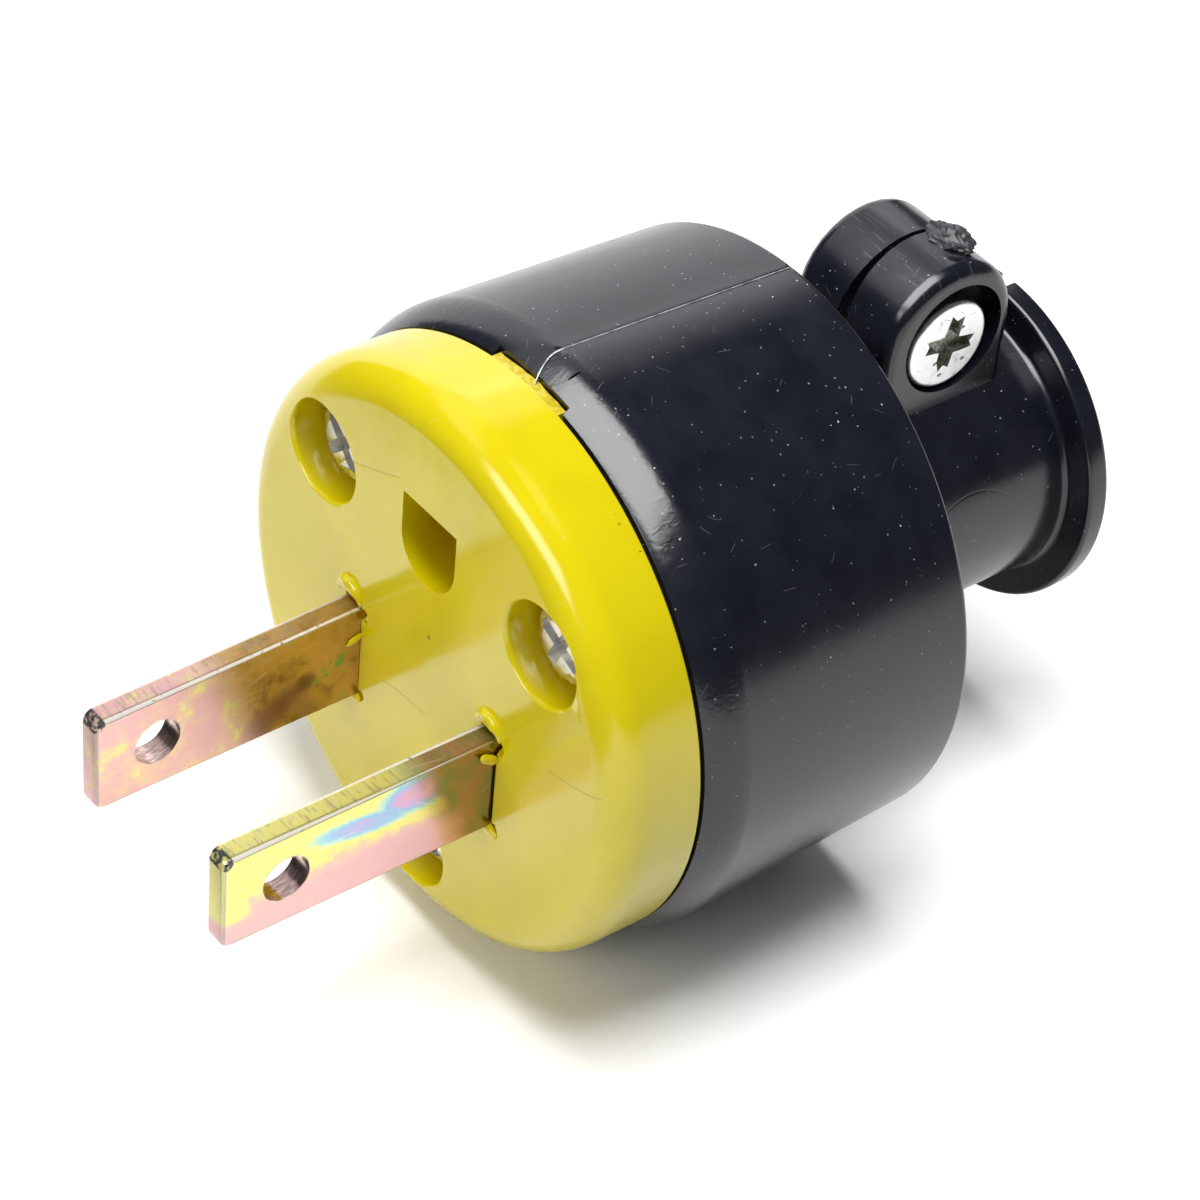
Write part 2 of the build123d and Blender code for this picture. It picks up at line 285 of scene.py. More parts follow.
# Where a mark fades in: from a place with none to a place with all of it
COVER_RECESS_SHADE_DEPTHS = (0.3, 3.0)
COVER_RECESS_SHADE_RADII = (16.3, 15.6)
FACE_SKIN = (0.25, 0.05)
TRIMMED_DEPTHS = (5.35, 5.55)
TRIMMED_HEIGHTS = (15.5, 16.5)
COVER_ROUGHNESS = 0.13
COVER_IOR = 1.7
SHELL_COLOUR = (0.0022, 0.0027, 0.0050)
SHELL_COLOUR_PALE = (0.0042, 0.0049, 0.0082)
SHELL_SPECK = (0.55, 0.56, 0.60)
SHELL_POWDER = (0.35, 0.37, 0.42)
SHELL_SCRATCH = (0.20, 0.21, 0.25)
SHELL_SCRAPED = (0.14, 0.15, 0.17)
# Painted highlight on the parting line and its fin
SHELL_LINE_HIGHLIGHT = (0.27, 0.28, 0.31)
SHELL_GATE = (0.022, 0.023, 0.026)
SHELL_SPECKS = (1.9, 0.085, 0.14)
SHELL_POWDER_SPECKS = (3.0, 0.15, 0.24)
EAR_TOP_HEIGHTS = (15.2, 16.0)
EAR_TOP_DEPTHS = (28.5, 36.5)
LINE_HIGHLIGHT_REACH = (0.075, 0.035)
LINE_HIGHLIGHT_HEIGHTS = (15.0, 15.5)
GATE_REACH = (1.9, 1.5)
GATE_HEIGHTS = (16.3, 16.7)
SHELL_ROUGHNESS = 0.17
SHELL_IOR = 1.62
# Round mark of an ejector on the neck: depth, height and radii
EJECTOR_DEPTH = 32.4
EJECTOR_RISE = -0.8
EJECTOR_RING = (4.25, 4.35)
# Colours of the chromate film, from thin to thick
FILM = (
    (0.00, (0.84, 0.50, 0.50)),
    (0.14, (0.86, 0.61, 0.44)),
    (0.24, (0.92, 0.84, 0.26)),
    (0.34, (0.80, 0.84, 0.40)),
    (0.42, (0.46, 0.76, 0.70)),
    (0.52, (0.38, 0.56, 0.80)),
    (0.61, (0.74, 0.44, 0.68)),
    (0.70, (0.80, 0.50, 0.44)),
    (0.79, (0.24, 0.34, 0.16)),
    (0.89, (0.40, 0.18, 0.12)),
    (1.00, (0.50, 0.31, 0.12)),
)
FILM_SCORCHED = ((0.20, (0.48, 0.25, 0.17)), (0.50, (0.40, 0.27, 0.14)), (0.80, (0.24, 0.28, 0.13)))
FILM_GOLD = (
    (0.20, (0.20, 0.11, 0.09)),
    (0.38, (0.40, 0.23, 0.09)),
    (0.52, (0.52, 0.34, 0.10)),
    (0.66, (0.62, 0.36, 0.16)),
    (0.82, (0.36, 0.42, 0.15)),
)
# Bands on the blades; a level is a height above the middle of the blade
YELLOW_LEVELS = (-1.1, 0.3)
YELLOW_TIP_DEPTHS = (-14.6, -16.2)
YELLOW_TIP_LEVELS = (-2.0, -1.2)
SCORCHED_DEPTHS = (-4.6, -2.4)
GOLD_DEPTHS = (-9.8, -6.6)
ROUNDED_REACH = (0.50, 0.62)
ROUNDED_LEVELS = (2.86, 2.98)
END_EDGE_DEPTHS = (-16.80, -16.92)
END_FACE_DEPTHS = (-16.82, -16.95)
STRIP_REACH = (0.60, 0.45)
STRIP_LEVELS = (2.9, 3.05)
# Patches on the blades: depth and level of the middle, half sizes and lean
BLUE_LENS = ((-8.4, 1.25), (4.2, 0.95), -0.14)
BLUE_LENS_ROOT = ((-4.9, 1.75), (3.2, 1.6), -0.05)
PURPLE_PATCH = ((-5.9, -1.9), (2.6, 1.5), 0.5)
BROWN_SPOT = ((-3.6, -0.6), (0.9, 0.9), 0.0)
GREEN_PATCH = ((-1.9, -0.4), (1.6, 0.7), 0.5)
WORN_CORNER = ((-17.0, 2.95), (0.75, 0.65), 0.0)
PURPLE = (0.24, 0.10, 0.11)
DARK_BROWN = (0.12, 0.05, 0.05)
GREEN = (0.14, 0.42, 0.16)
# Rubbed zinc on the blade edges, painted near-white as a highlight
RUBBED_ZINC_AND_HIGHLIGHT = (0.92, 0.90, 0.86)
WORN_BLACK = (0.10, 0.11, 0.11)
SHEAR_DARK = (0.40, 0.33, 0.26)
# Painted shade and highlight on the walls of the drilled holes
BORE_WALL_SHADE_AND_HIGHLIGHT = ((0.30, (0.26, 0.18, 0.16)), (0.50, (0.62, 0.45, 0.42)), (0.70, (0.92, 0.80, 0.74)))
PLATING_PINHOLE = (0.95, 0.93, 0.85)
PINHOLES = (2.4, 0.12, 0.12)
PLATING_HAIR = (0.90, 0.86, 0.76)
PLATING_ROUGHNESS = 0.24
ZINC = (
    (0.26, (0.55, 0.56, 0.56)),
    (0.36, (0.86, 0.87, 0.86)),
    (0.50, (0.96, 0.96, 0.95)),
    (0.70, (0.99, 0.99, 0.98)),
)
ZINC_HAIR = (0.25, 0.25, 0.24)
SLOT_INSIDE = (CLAMP_HEAD_TOP - 0.80, CLAMP_HEAD_TOP - 0.16)
SLOT_REACH_SQUARED = (5.5, 4.8)
ZINC_TORN = ((0.35, (0.16, 0.16, 0.12)), (0.55, (0.42, 0.42, 0.34)), (0.70, (0.75, 0.75, 0.68)))
BRASS = (0.80, 0.60, 0.27)
BRASS_TARNISHED = (0.50, 0.33, 0.14)
BRASS_ROUGHNESS = 0.22
BRASS_RING = 0.25
SCRATCH_WIDTH = 0.03
BUMP_DISTANCE = 0.5
# Faint lines moulded in the face: start and end in X and height, half width and bow
FACE_LINES = (
    ((-7.0, 9.5), (-2.8, 11.3), 0.06, -0.05),
    ((-3.4, -3.5), (0.7, -3.0), 0.06, 0.12),
    ((11.4, 1.4), (15.8, 2.7), 0.07, -0.15),
    ((2.2, -15.6), (5.0, -15.2), 0.06, -0.05),
)

# Studio; a radiance of 1 is white
BOX_DISTANCE = 0.6
ROOM_LIGHT = 0.07
ROOM_MIRRORED = (0.075, 0.075, 0.0825)
# Each soft box: azimuth, elevation, width and height in degrees, and radiance
SOFT_BOXES = {
    "left_back_box": (-65, 20, 54, 44, 1.15),
    "high_left_box": (-92, 52, 80, 22, 0.65),
    "front_strip": (180, 29, 38, 20, 4.3),
}
OVERHEAD_BOX = (110, 83, 26, 26, 13.3)
RIM_BOX = (176, 73, 58, 56, 8.0)
FLOOR_SIZE = 2.0
SHEET_END = -34.0
SHEET_FADE = 9.0
FLOOR_BOUNCE = 0.62
FLOOR_SEEN = 1.24
FLOOR_MIRRORED = 1.14
FLOOR_BEYOND_SHEET = 0.03
SHEET_SLANT = 0.9


def faced(corners, steps=ROUND_STEPS):
    """One flat face through (x, y) corners; a corner's third value, if it has one, rounds it."""
    mesh = bmesh.new()
    points = [mesh.verts.new((corner[0], corner[1], 0)) for corner in corners]
    mesh.faces.new(points)
    for point, corner in zip(points, corners):
        if len(corner) > 2:
            bmesh.ops.bevel(
                mesh,
                geom=[point],
                offset=corner[2],
                offset_type="OFFSET",
                segments=steps,
                profile=0.5,
                affect="VERTICES",
                material=-1,
            )
    return mesh


def outward(mesh):
    """Turn every face of a closed solid outwards."""
    bmesh.ops.recalc_face_normals(mesh, faces=mesh.faces[:])
    if mesh.calc_volume(signed=True) < 0:
        bmesh.ops.reverse_faces(mesh, faces=mesh.faces[:])
    return mesh


def turned(corners, steps=TURN_STEPS):
    """A solid turned about the depth axis from (radius, depth) corners."""
    mesh = faced(corners)
    bmesh.ops.delete(mesh, geom=mesh.faces[:], context="FACES_ONLY")
    middle = [point for point in mesh.verts if point.co.x < NEAR]
    bmesh.ops.delete(mesh, geom=middle, context="VERTS")
    bmesh.ops.spin(
        mesh,
        geom=mesh.verts[:] + mesh.edges[:],
        cent=(0, 0, 0),
        axis=(0, 1, 0),
        dvec=(0, 0, 0),
        angle=2 * math.pi,
        steps=steps,
        use_merge=True,
    )
    rims = [edge for edge in mesh.edges if edge.is_boundary]
    bmesh.ops.holes_fill(mesh, edges=rims, sides=0)
    return outward(mesh)


def prism(corners, low, high, along="depth"):
    """A straight solid: an outline in X and height along the depth, in depth and height along X ("side"),
    or in X and depth along the height ("up")."""
    mesh = faced(corners)
    grown = bmesh.ops.extrude_face_region(mesh, geom=mesh.faces[:])
    far_end = [part for part in grown["geom"] if isinstance(part, bmesh.types.BMVert)]
    bmesh.ops.translate(mesh, verts=far_end, vec=(0, 0, high - low))
    bmesh.ops.translate(mesh, verts=mesh.verts[:], vec=(0, 0, low))
    if along == "depth":
        turn = Matrix(((1, 0, 0, 0), (0, 0, 1, 0), (0, 1, 0, 0), (0, 0, 0, 1)))
    elif along == "side":
        turn = Matrix(((0, 0, 1, 0), (1, 0, 0, 0), (0, 1, 0, 0), (0, 0, 0, 1)))
    else:
        turn = Matrix.Identity(4)
    mesh.transform(turn)
    return outward(mesh)


def box(width, height, middle_x, middle_z, low, high):
    """A straight block along the depth."""
    left, right = middle_x - width / 2, middle_x + width / 2
    bottom, top = middle_z - height / 2, middle_z + height / 2
    return prism([(left, bottom), (right, bottom), (right, top), (left, top)], low, high)


def moved(mesh, place, facing="front"):
    """Move a solid turned about the depth axis; facing "right" lays it along X with its front outwards."""
    if facing == "right":
        mesh.transform(Matrix.Rotation(math.pi / 2, 4, "Z"))
    mesh.transform(Matrix.Translation(place))
    return mesh


def rod(radius, low, high, place=(0, 0), steps=HEAD_STEPS):
    """A round bar along the depth at (x, height)."""
    bar = turned([(0, low), (radius, low), (radius, high), (0, high)], steps)
    return moved(bar, (place[0], 0, place[1]))


def pin(radius, low, high, place, steps=HOLE_STEPS):
    """A round bar across the plug, from low to high towards the left of a place."""
    return moved(rod(radius, low, high, steps=steps), place, "right")


def round_sides(mesh, wanted, radius, steps):
    """Round the rims of a block's two flat sides along X, where an end of the edge is wanted."""
    flat = [edge for edge in mesh.edges if abs(edge.verts[0].co.x - edge.verts[1].co.x) < NEAR]
    bmesh.ops.bevel(
        mesh,
        geom=[edge for edge in flat if any(wanted(end.co) for end in edge.verts)],
        offset=radius,
        offset_type="OFFSET",
        segments=steps,
        profile=0.5,
        affect="EDGES",
        material=-1,
        clamp_overlap=True,
    )


def thing(name, mesh):
    """Put a bmesh into the scene as an object."""
    data = bpy.data.meshes.new(name)
    mesh.to_mesh(data)
    mesh.free()
    made = bpy.data.objects.new(name, data)
    bpy.context.scene.collection.objects.link(made)
    return made


def shaped(body, joined=(), cut=()):
    """Join solids to a body, then cut others out of it; everything is given and returned as a bmesh."""
    base = thing("base", body)
    used = [base]
    for operation, shapes in (("UNION", joined), ("DIFFERENCE", cut)):
        for shape in shapes:
            tool = thing("tool", shape)
            step = base.modifiers.new(operation.lower(), "BOOLEAN")
            step.operation = operation
            step.solver = "EXACT"
            step.object = tool
            used.append(tool)
    graph = bpy.context.evaluated_depsgraph_get()
    result = bmesh.new()
    result.from_mesh(base.evaluated_get(graph).to_mesh())
    for item in used:
        bpy.data.meshes.remove(item.data)
    return result


def finish_piece(name, mesh, slot, replaced, crease=32):
    """Shade a piece, put it into the frame in metres and tie it to the plug."""
    bmesh.ops.remove_doubles(mesh, verts=mesh.verts[:], dist=MERGE)
    bmesh.ops.dissolve_degenerate(mesh, dist=MERGE, edges=mesh.edges[:])
    for face in mesh.faces:
        face.smooth = True
    for edge in mesh.edges:
        edge.smooth = edge.calc_face_angle(0) < math.radians(crease)
    mesh.transform(TO_FRAME)
    piece = thing(name, mesh)
    shade = piece.modifiers.new("even_shading", "WEIGHTED_NORMAL")
    shade.keep_sharp = True
    piece.data.materials.append(looks[slot])
    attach(piece, "root")
    if replaced:
        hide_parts(replaced)
    return piece


def recess_tool(place):
    """Cutter for a screw's recess, with a flared mouth."""
    wall = [
        (0, -RECESS_FRONT),
        (RECESS_R + RECESS_MOUTH + PAST, -RECESS_FRONT),
        (RECESS_R, RECESS_LIP, RECESS_MOUTH),
        (RECESS_R, SEAT_DEPTH),
        (0, SEAT_DEPTH),
    ]
    return moved(turned(wall, HEAD_STEPS), (place.x, 0, place.z))


def ground_outline(margin):
    """D-shaped outline of the ground opening, or of the wall around it: flat above, round below."""
    reach = GROUND_R + margin
    low, high = GROUND_RISE - reach, GROUND_RISE + GROUND_FLAT + margin
    bend = reach * GROUND_ROUND
    return [(-reach, low, bend), (reach, low, bend), (reach, high), (-reach, high)]


def build_key():
    """The key on the cover's back edge: its hand-trimmed edge is ragged."""
    draw = random.Random(4)
    left, right = KEY_LEAN - KEY_WIDTH / 2, KEY_LEAN + KEY_WIDTH / 2
    trimmed = [
        (right - (right - left) * step / KEY_TRIMS, KEY_END + draw.uniform(-1, 1) * KEY_RAGGED)
        for step in range(KEY_TRIMS + 1)
    ]
    root = COVER_DEPTH - OVERLAP
    tongue = prism([(left, root), (right, root), *trimmed], SHELL_BORE, COVER_R, "up")
    outside = shaped(
        rod(COVER_R + 2 * PAST, COVER_DEPTH - PAST, KEY_END + PAST, steps=TURN_STEPS),
        cut=[rod(COVER_R - KEY_SUNK, COVER_DEPTH - 2 * PAST, KEY_END + 2 * PAST, steps=TURN_STEPS)],
    )
    return shaped(tongue, cut=[outside])


def chip(size, place, turn=0.0, seed=1, ragged=0.0):
    """A rough pebble with its half sizes, place and turn about X; it cuts a chip or stands as a burr."""
    mesh = bmesh.new()
    bmesh.ops.create_icosphere(mesh, subdivisions=4 if ragged else 3, radius=1)
    for point in mesh.verts:
        way = point.co.copy()
        point.co *= 1 + PEBBLE_LUMP * noise.noise(way * PEBBLE_LUMPS + Vector((seed * 7.3, 0, 0)))
        point.co *= 1 + ragged * noise.noise(way * PEBBLE_RAGS + Vector((0, seed * 3.7, 0)))
    mesh.transform(Matrix.Diagonal((*size, 1)))
    mesh.transform(Matrix.Rotation(math.radians(turn), 4, "X"))
    return moved(mesh, place)


def arch(radius, thickness, place, start, sweep):
    """A raised crescent on the face, thick in its middle and thin at both ends."""
    mesh = bmesh.new()
    bmesh.ops.create_circle(
        mesh, cap_ends=True, segments=12, radius=thickness, matrix=Matrix.Translation((radius, 0, 0))
    )
    bmesh.ops.rotate(
        mesh, verts=mesh.verts[:], cent=(0, 0, 0), matrix=Matrix.Rotation(-math.radians(start), 3, "Y")
    )
    bmesh.ops.spin(
        mesh,
        geom=mesh.verts[:] + mesh.edges[:] + mesh.faces[:],
        cent=(0, 0, 0),
        axis=(0, 1, 0),
        dvec=(0, 0, 0),
        angle=-math.radians(sweep),
        steps=24,
    )
    for point in mesh.verts:
        turn = math.atan2(point.co.z, point.co.x) % (2 * math.pi) - math.radians(start)
        share = min(max(turn / math.radians(sweep), 0.0), 1.0)
        middle = Vector((point.co.x, 0, point.co.z)).normalized() * radius
        swell = 0.25 + 0.75 * math.sin(math.pi * share) ** 0.6
        swell *= 1 + 0.3 * noise.noise(point.co * 2.0)
        point.co = middle + (point.co - middle) * swell
    return moved(outward(mesh), place)


def build_cover():
    """The yellow cover: a cored disc with a spigot, bosses, blade blocks, a partition, a key and chips."""
    disc = turned(
        [
            (0, 0),
            (COVER_R, 0, COVER_EDGE),
            (COVER_R, COVER_DEPTH, COVER_BACK_EDGE),
            (SPIGOT_R, COVER_DEPTH),
            (SPIGOT_R, COVER_END),
            (0, COVER_END),
        ]
    )
    blade_places = (-BLADE_X, BLADE_X)
    places = screw_places.values()
    kept = [rod(BOSS_R, 0, COVER_END + PAST, (place.x, place.z)) for place in places]
    block = (BLADE_T + 2 * BLOCK_WALL, SHOULDER_W + 2 * BLOCK_END)
    kept += [box(*block, x, BLADE_RISE, 0, COVER_END + PAST) for x in blade_places]
    kept.append(prism(ground_outline(GROUND_WALL), 0, COVER_END + PAST))
    core = shaped(rod(SPIGOT_R - SPIGOT_WALL, COVER_WALL, COVER_END + PAST / 2, steps=TURN_STEPS), cut=kept)
    low, high = PARTITION_HEIGHTS
    key = build_key()
    slot = (BLADE_T + 2 * SLOT_GAP, BLADE_W + 2 * SLOT_GAP)
    cuts = [core]
    cuts += [box(*slot, x, BLADE_RISE, -PAST, COVER_END + PAST) for x in blade_places]
    cuts.append(prism(ground_outline(0), -PAST, COVER_END + PAST))
    cuts += [rod(SCREW_HOLE_R, 0, COVER_END + PAST, (place.x, place.z)) for place in places]
    cuts += [recess_tool(place) for place in places]
    cuts += [chip(*chipped) for chipped in COVER_CHIPS]
    middle = (high + low) / 2
    partition = box(PARTITION_T, high - low, 0, middle, COVER_WALL - OVERLAP, PARTITION_END)
    mesh = shaped(shaped(disc, cut=cuts), joined=[partition, key])
    finish_piece("yellow_cover", mesh, "cover_yellow", "face_cover")


def build_blade(side):
    """A stamped blade with its shoulders and its drilled tab; in front of the face it droops a little."""
    half, shoulder, tab = BLADE_W / 2, SHOULDER_W / 2, TAB_W / 2
    mesh = prism(
        [
            (BLADE_TIP, -half, TIP_BOTTOM),
            (BLADE_SEAT, -half),
            (BLADE_SEAT, -shoulder),
            (SHOULDER_END, -shoulder),
            (SHOULDER_END, -tab),
            (TAB_END, -tab),
            (TAB_END, tab),
            (SHOULDER_END, tab),
            (SHOULDER_END, shoulder),
            (BLADE_SEAT, shoulder),
            (BLADE_SEAT, half),
            (BLADE_TIP, half, TIP_TOP),
        ],
        -BLADE_T / 2,
        BLADE_T / 2,
        along="side",
    )
    round_sides(mesh, lambda place: place.y < BLADE_SEAT - NEAR, BLADE_EDGE, 3)
    tip_hole = pin(HOLE_R, -2 * PAST, 2 * PAST, (0, HOLE_DEPTH, 0))
    tab_hole = pin(TERMINAL_HOLE_R, -2 * PAST, 2 * PAST, (0, TERMINAL_DEPTH, 0))
    mesh = shaped(mesh, cut=[tip_hole, tab_hole])
    lean = RIGHT_LEAN if side > 0 else 0
    for point in mesh.verts:
        reach = min(point.co.y, 0)
        point.co += Vector((side * BLADE_X + lean * reach, 0, BLADE_RISE + DROOP * reach))
    name = "blade_right" if side > 0 else "blade_left"
    finish_piece("plated_" + name, mesh, "blade_plating", name, crease=25)


def build_shell():
    """The black shell: a turned housing with neck and flange, posts inside and the split clamp."""
    housing = turned(
        [
            (RIM_R, RIM_FRONT),
            (SHELL_R, RIM_CORNER, RIM_ROUND),
            (BACK_R, BACK_DEPTH, BACK_EDGE),
            (NECK_R, BACK_DEPTH, NECK_ROOT),
            (NECK_R, FLANGE_FRONT, FLANGE_ROOT),
            (FLANGE_R, FLANGE_FRONT, FLANGE_EDGES[0]),
            (FLANGE_R, PLUG_DEPTH, FLANGE_EDGES[1]),
            (CORD_BORE_R, PLUG_DEPTH, CORD_BORE_EDGE),
            (CORD_BORE_R, CHAMBER_BACK),
            (SHELL_BORE, CHAMBER_BACK),
            (SHELL_BORE, RIM_FRONT),
        ]
    )
    ears = prism(
        [
            (EAR_DEPTH - EAR_R, EAR_FOOT),
            (EAR_DEPTH + EAR_R, EAR_FOOT),
            (EAR_DEPTH + EAR_R, EAR_RISE + EAR_R, EAR_R),
            (EAR_DEPTH - EAR_R, EAR_RISE + EAR_R, EAR_R),
        ],
        -EAR_REACH,
        EAR_REACH,
        along="side",
    )
    # The two rounded corners meet at the top in one point
    bmesh.ops.remove_doubles(ears, verts=ears.verts[:], dist=NEAR / 10)
    round_sides(ears, lambda place: place.z > EAR_FOOT + NEAR, EAR_EDGE, 5)
    places = screw_places.values()
    posts = [rod(POST_R, COVER_END, CHAMBER_BACK + OVERLAP, (place.x, place.z)) for place in places]
    slit = prism(
        [
            (SLIT_TOP / 2, EAR_RISE + 2 * EAR_R),
            (SLIT_TOP / 2, EAR_RISE + EAR_R),
            (SLIT_NECK / 2, NECK_R),
            (SLIT_NECK / 2, 0),
            (-SLIT_NECK / 2, 0),
            (-SLIT_NECK / 2, NECK_R),
            (-SLIT_TOP / 2, EAR_RISE + EAR_R),
            (-SLIT_TOP / 2, EAR_RISE + 2 * EAR_R),
        ],
        SLIT_START,
        PLUG_DEPTH + PAST,
    )
    sink = pin(SINK_R, -PAST, SINK_DEPTH, (EAR_REACH, EAR_DEPTH + SINK_SHIFT, EAR_RISE), HEAD_STEPS)
    through = 2 * EAR_REACH
    screw_hole = pin(CLAMP_HOLE_R, -through, through, (0, EAR_DEPTH, CLAMP_RISE))
    nut_r = NUT_FLATS / 2 / math.cos(math.pi / 6)
    nut_pocket = pin(nut_r, 0, NUT_POCKET, (-NUT_SEAT, EAR_DEPTH, CLAMP_RISE), 6)
    cord_bore = rod(CORD_BORE_R, CHAMBER_BACK - PAST / 2, PLUG_DEPTH + PAST, steps=TURN_STEPS)
    cuts = [cord_bore, slit, sink, screw_hole, nut_pocket]
    cuts += [rod(INSERT_R, COVER_END - PAST, INSERT_END, (place.x, place.z), 64) for place in places]
    cuts += [rod(SCREW_HOLE_R, COVER_END - PAST, POST_HOLE_END, (place.x, place.z), 48) for place in places]
    cuts.append(box(NOTCH_WIDTH, NOTCH_HEIGHT, KEY_LEAN, NOTCH_RISE, RIM_FRONT - PAST, NOTCH_END))
    cuts += [chip(*chipped) for chipped in SHELL_CHIPS]
    cuts += [parting_groove(side) for side in (-1, 1)]
    mesh = shaped(shaped(housing, joined=[ears, *posts], cut=cuts), joined=[chip(*EAR_GATE), mould_flash()])
    return finish_piece("black_shell", mesh, "shell_black", "body_shell")


def parting_groove(side):
    """Cutter for the fine groove beside the parting line, which stands as a hair between two of them."""
    near_x, far_x = side * LINE_HALF, side * (LINE_HALF + LINE_GROOVE)
    low = SHELL_R - LINE_DEPTH
    high = SHELL_R + PAST
    corners = [(near_x, low), (far_x, SHELL_R + LINE_EDGE), (far_x, high), (near_x, high)]
    cutter = prism(corners if side > 0 else corners[::-1], LINE_START, BACK_DEPTH + PAST)
    taper = (SHELL_R - BACK_R) / (BACK_DEPTH - RIM_BACK)
    for point in cutter.verts:
        point.co.z -= max(point.co.y - RIM_BACK, 0) * taper
        point.co.x += LINE_SHIFT
    return cutter


def mould_flash():
    """The thin fin where the parting line runs down the rim to the key; its bright look is a painted
    highlight in the shell's material.
    """
    fin = arch(FLASH_BOW, FLASH_R, (0, 0, 0), FLASH_TURN, FLASH_SWEEP)
    moved(fin, (0, RIM_BACK, SHELL_R - FLASH_DROP), "right")
    for point in fin.verts:
        slide = max(FLASH_START - point.co.y, 0) / FLASH_RUN
        sunk = min(max((point.co.y - FLASH_SINK_START) / FLASH_SINK_RUN, 0), 1)
        point.co.x += FLASH_LEAN * slide**FLASH_BEND
        point.co.z -= FLASH_SINK[0] + FLASH_SINK[1] * sunk
    return fin


def build_burrs():
    """Yellow plastic that the blades shaved off the face: arches above them, curls beside, crumbs below."""
    burrs = {name: arch(BURR_ARCH_R, BURR_ARCH_THICK, place, 0, 180) for name, place in BURR_ARCHES.items()}
    burrs |= {name: chip(*pebble) for name, pebble in BURR_PEBBLES.items()}
    for name, mesh in burrs.items():
        finish_piece("burr_" + name, mesh, "cover_yellow", None)


def cross_cutters(arms, low, high, turn=0.0):
    """Cutters for a worn cross slot, one for each arm."""
    cutters = [prism(arm, low, high) for arm in arms]
    for cutter in cutters:
        cutter.transform(Matrix.Rotation(math.radians(turn), 4, "Y"))
    return cutters


def build_cover_screw(node, seed, turn):
    """A cover screw whose domed head is scarred by a slipping driver."""
    low, middle, high = place_of(node)
    top = low.y
    head = turned(
        [
            *((radius, top + drop) for radius, drop in COVER_HEAD_TOP),
            (COVER_HEAD_R, SEAT_DEPTH),
            (SCREW_SHANK_R, SEAT_DEPTH),
            (SCREW_SHANK_R, high.y),
            (0, high.y),
        ],
        HEAD_STEPS,
    )
    bmesh.ops.subdivide_edges(
        head,
        edges=[edge for edge in head.edges if max(end.co.y for end in edge.verts) < top + 1.0],
        cuts=2,
        use_grid_fill=True,
    )
    for point in head.verts:
        if point.co.y < top + SCAR_END and math.hypot(point.co.x, point.co.z) < COVER_HEAD_R - SCAR_WEAR:
            at = Vector((point.co.x * SCARS_PER_MM, seed * 3.1, point.co.z * SCARS_PER_MM))
            point.co.y += SCAR_DEPTH * abs(noise.noise(at)) + SCAR_WEAR
    mesh = shaped(head, cut=cross_cutters(COVER_CROSS, top - PAST / 2, top + COVER_CROSS_DEPTH, turn))
    finish_piece(node + "_worn", moved(mesh, (middle.x, 0, middle.z)), "zinc_screw", node)


def build_clamp_screw():
    """The clamp screw, its cross slot torn by the driver."""
    low, middle, high = place_of("clamp_screw")
    head = turned(
        [
            (0, 0),
            (CLAMP_HEAD_R, 0, CLAMP_HEAD_EDGE),
            (CLAMP_HEAD_R, CLAMP_HEAD_H),
            (SCREW_SHANK_R, CLAMP_HEAD_H),
            (SCREW_SHANK_R, high.x - low.x),
            (0, high.x - low.x),
        ],
        HEAD_STEPS,
    )
    dents = [chip(CLAMP_DENT, (x, 0, z), seed=8) for x, z in CLAMP_DENTS]
    mesh = shaped(head, cut=[*cross_cutters(CLAMP_CROSS, -PAST, CLAMP_CROSS_DEPTH), *dents])
    moved(mesh, (high.x, middle.y, middle.z), "right")
    finish_piece("clamp_screw_worn", mesh, "zinc_screw", "clamp_screw")


def new_material(name, roughness, **sockets):
    """An empty material with a Principled surface; returns the material, its tree and the shader."""
    material = bpy.data.materials.new(name)
    material.use_nodes = True
    tree = material.node_tree
    shader = tree.nodes["Principled BSDF"]
    shader.inputs["Roughness"].default_value = roughness
    for key, value in sockets.items():
        shader.inputs[key.replace("_", " ")].default_value = value
    return material, tree, shader


def add_node(tree, kind, sockets=None, **settings):
    """Add a node with its settings; a socket takes a plain value or another node's output."""
    node = tree.nodes.new(kind)
    for key, value in settings.items():
        setattr(node, key, value)
    for key, value in (sockets or {}).items():
        if isinstance(value, bpy.types.NodeSocket):
            tree.links.new(value, node.inputs[key])
        else:
            node.inputs[key].default_value = value
    return node


def maths(tree, operation, first, *others, clamp=False):
    """Math nodes in a row: the operation on the first value and on each of the others in turn."""
    result = first
    for other in others or (0.0,):
        result = add_node(tree, "ShaderNodeMath", {0: result, 1: other}, operation=operation).outputs[0]
    result.node.use_clamp = clamp
    return result


def plus(tree, *values, clamp=False):
    """The sum of values."""
    return maths(tree, "ADD", *values, clamp=clamp)


def minus(tree, first, second, clamp=False):
    """The first value less the second."""
    return maths(tree, "SUBTRACT", first, second, clamp=clamp)


def times(tree, *values, clamp=False):
    """The product of values."""
    return maths(tree, "MULTIPLY", *values, clamp=clamp)


def squares(tree, first, second):
    """The sum of two squares."""
    return plus(tree, times(tree, first, first), times(tree, second, second))


def vector_maths(tree, operation, output, first, second=(0, 0, 0)):
    """One Vector Math node; its output is called Vector or Value."""
    node = add_node(tree, "ShaderNodeVectorMath", {0: first, 1: second}, operation=operation)
    return node.outputs[output]


def span(tree, value, low, high):
    """0 below low and 1 above high, with a soft step between; low may be the larger."""
    return add_node(
        tree,
        "ShaderNodeMapRange",
        {"Value": value, "From Min": low, "From Max": high},
        interpolation_type="SMOOTHSTEP",
    ).outputs["Result"]


def within(tree, value, low, high, soft):
    """1 between low and high, with soft ends."""
    rise, fall = span(tree, value, low - soft, low + soft), span(tree, value, high + soft, high - soft)
    return times(tree, rise, fall)


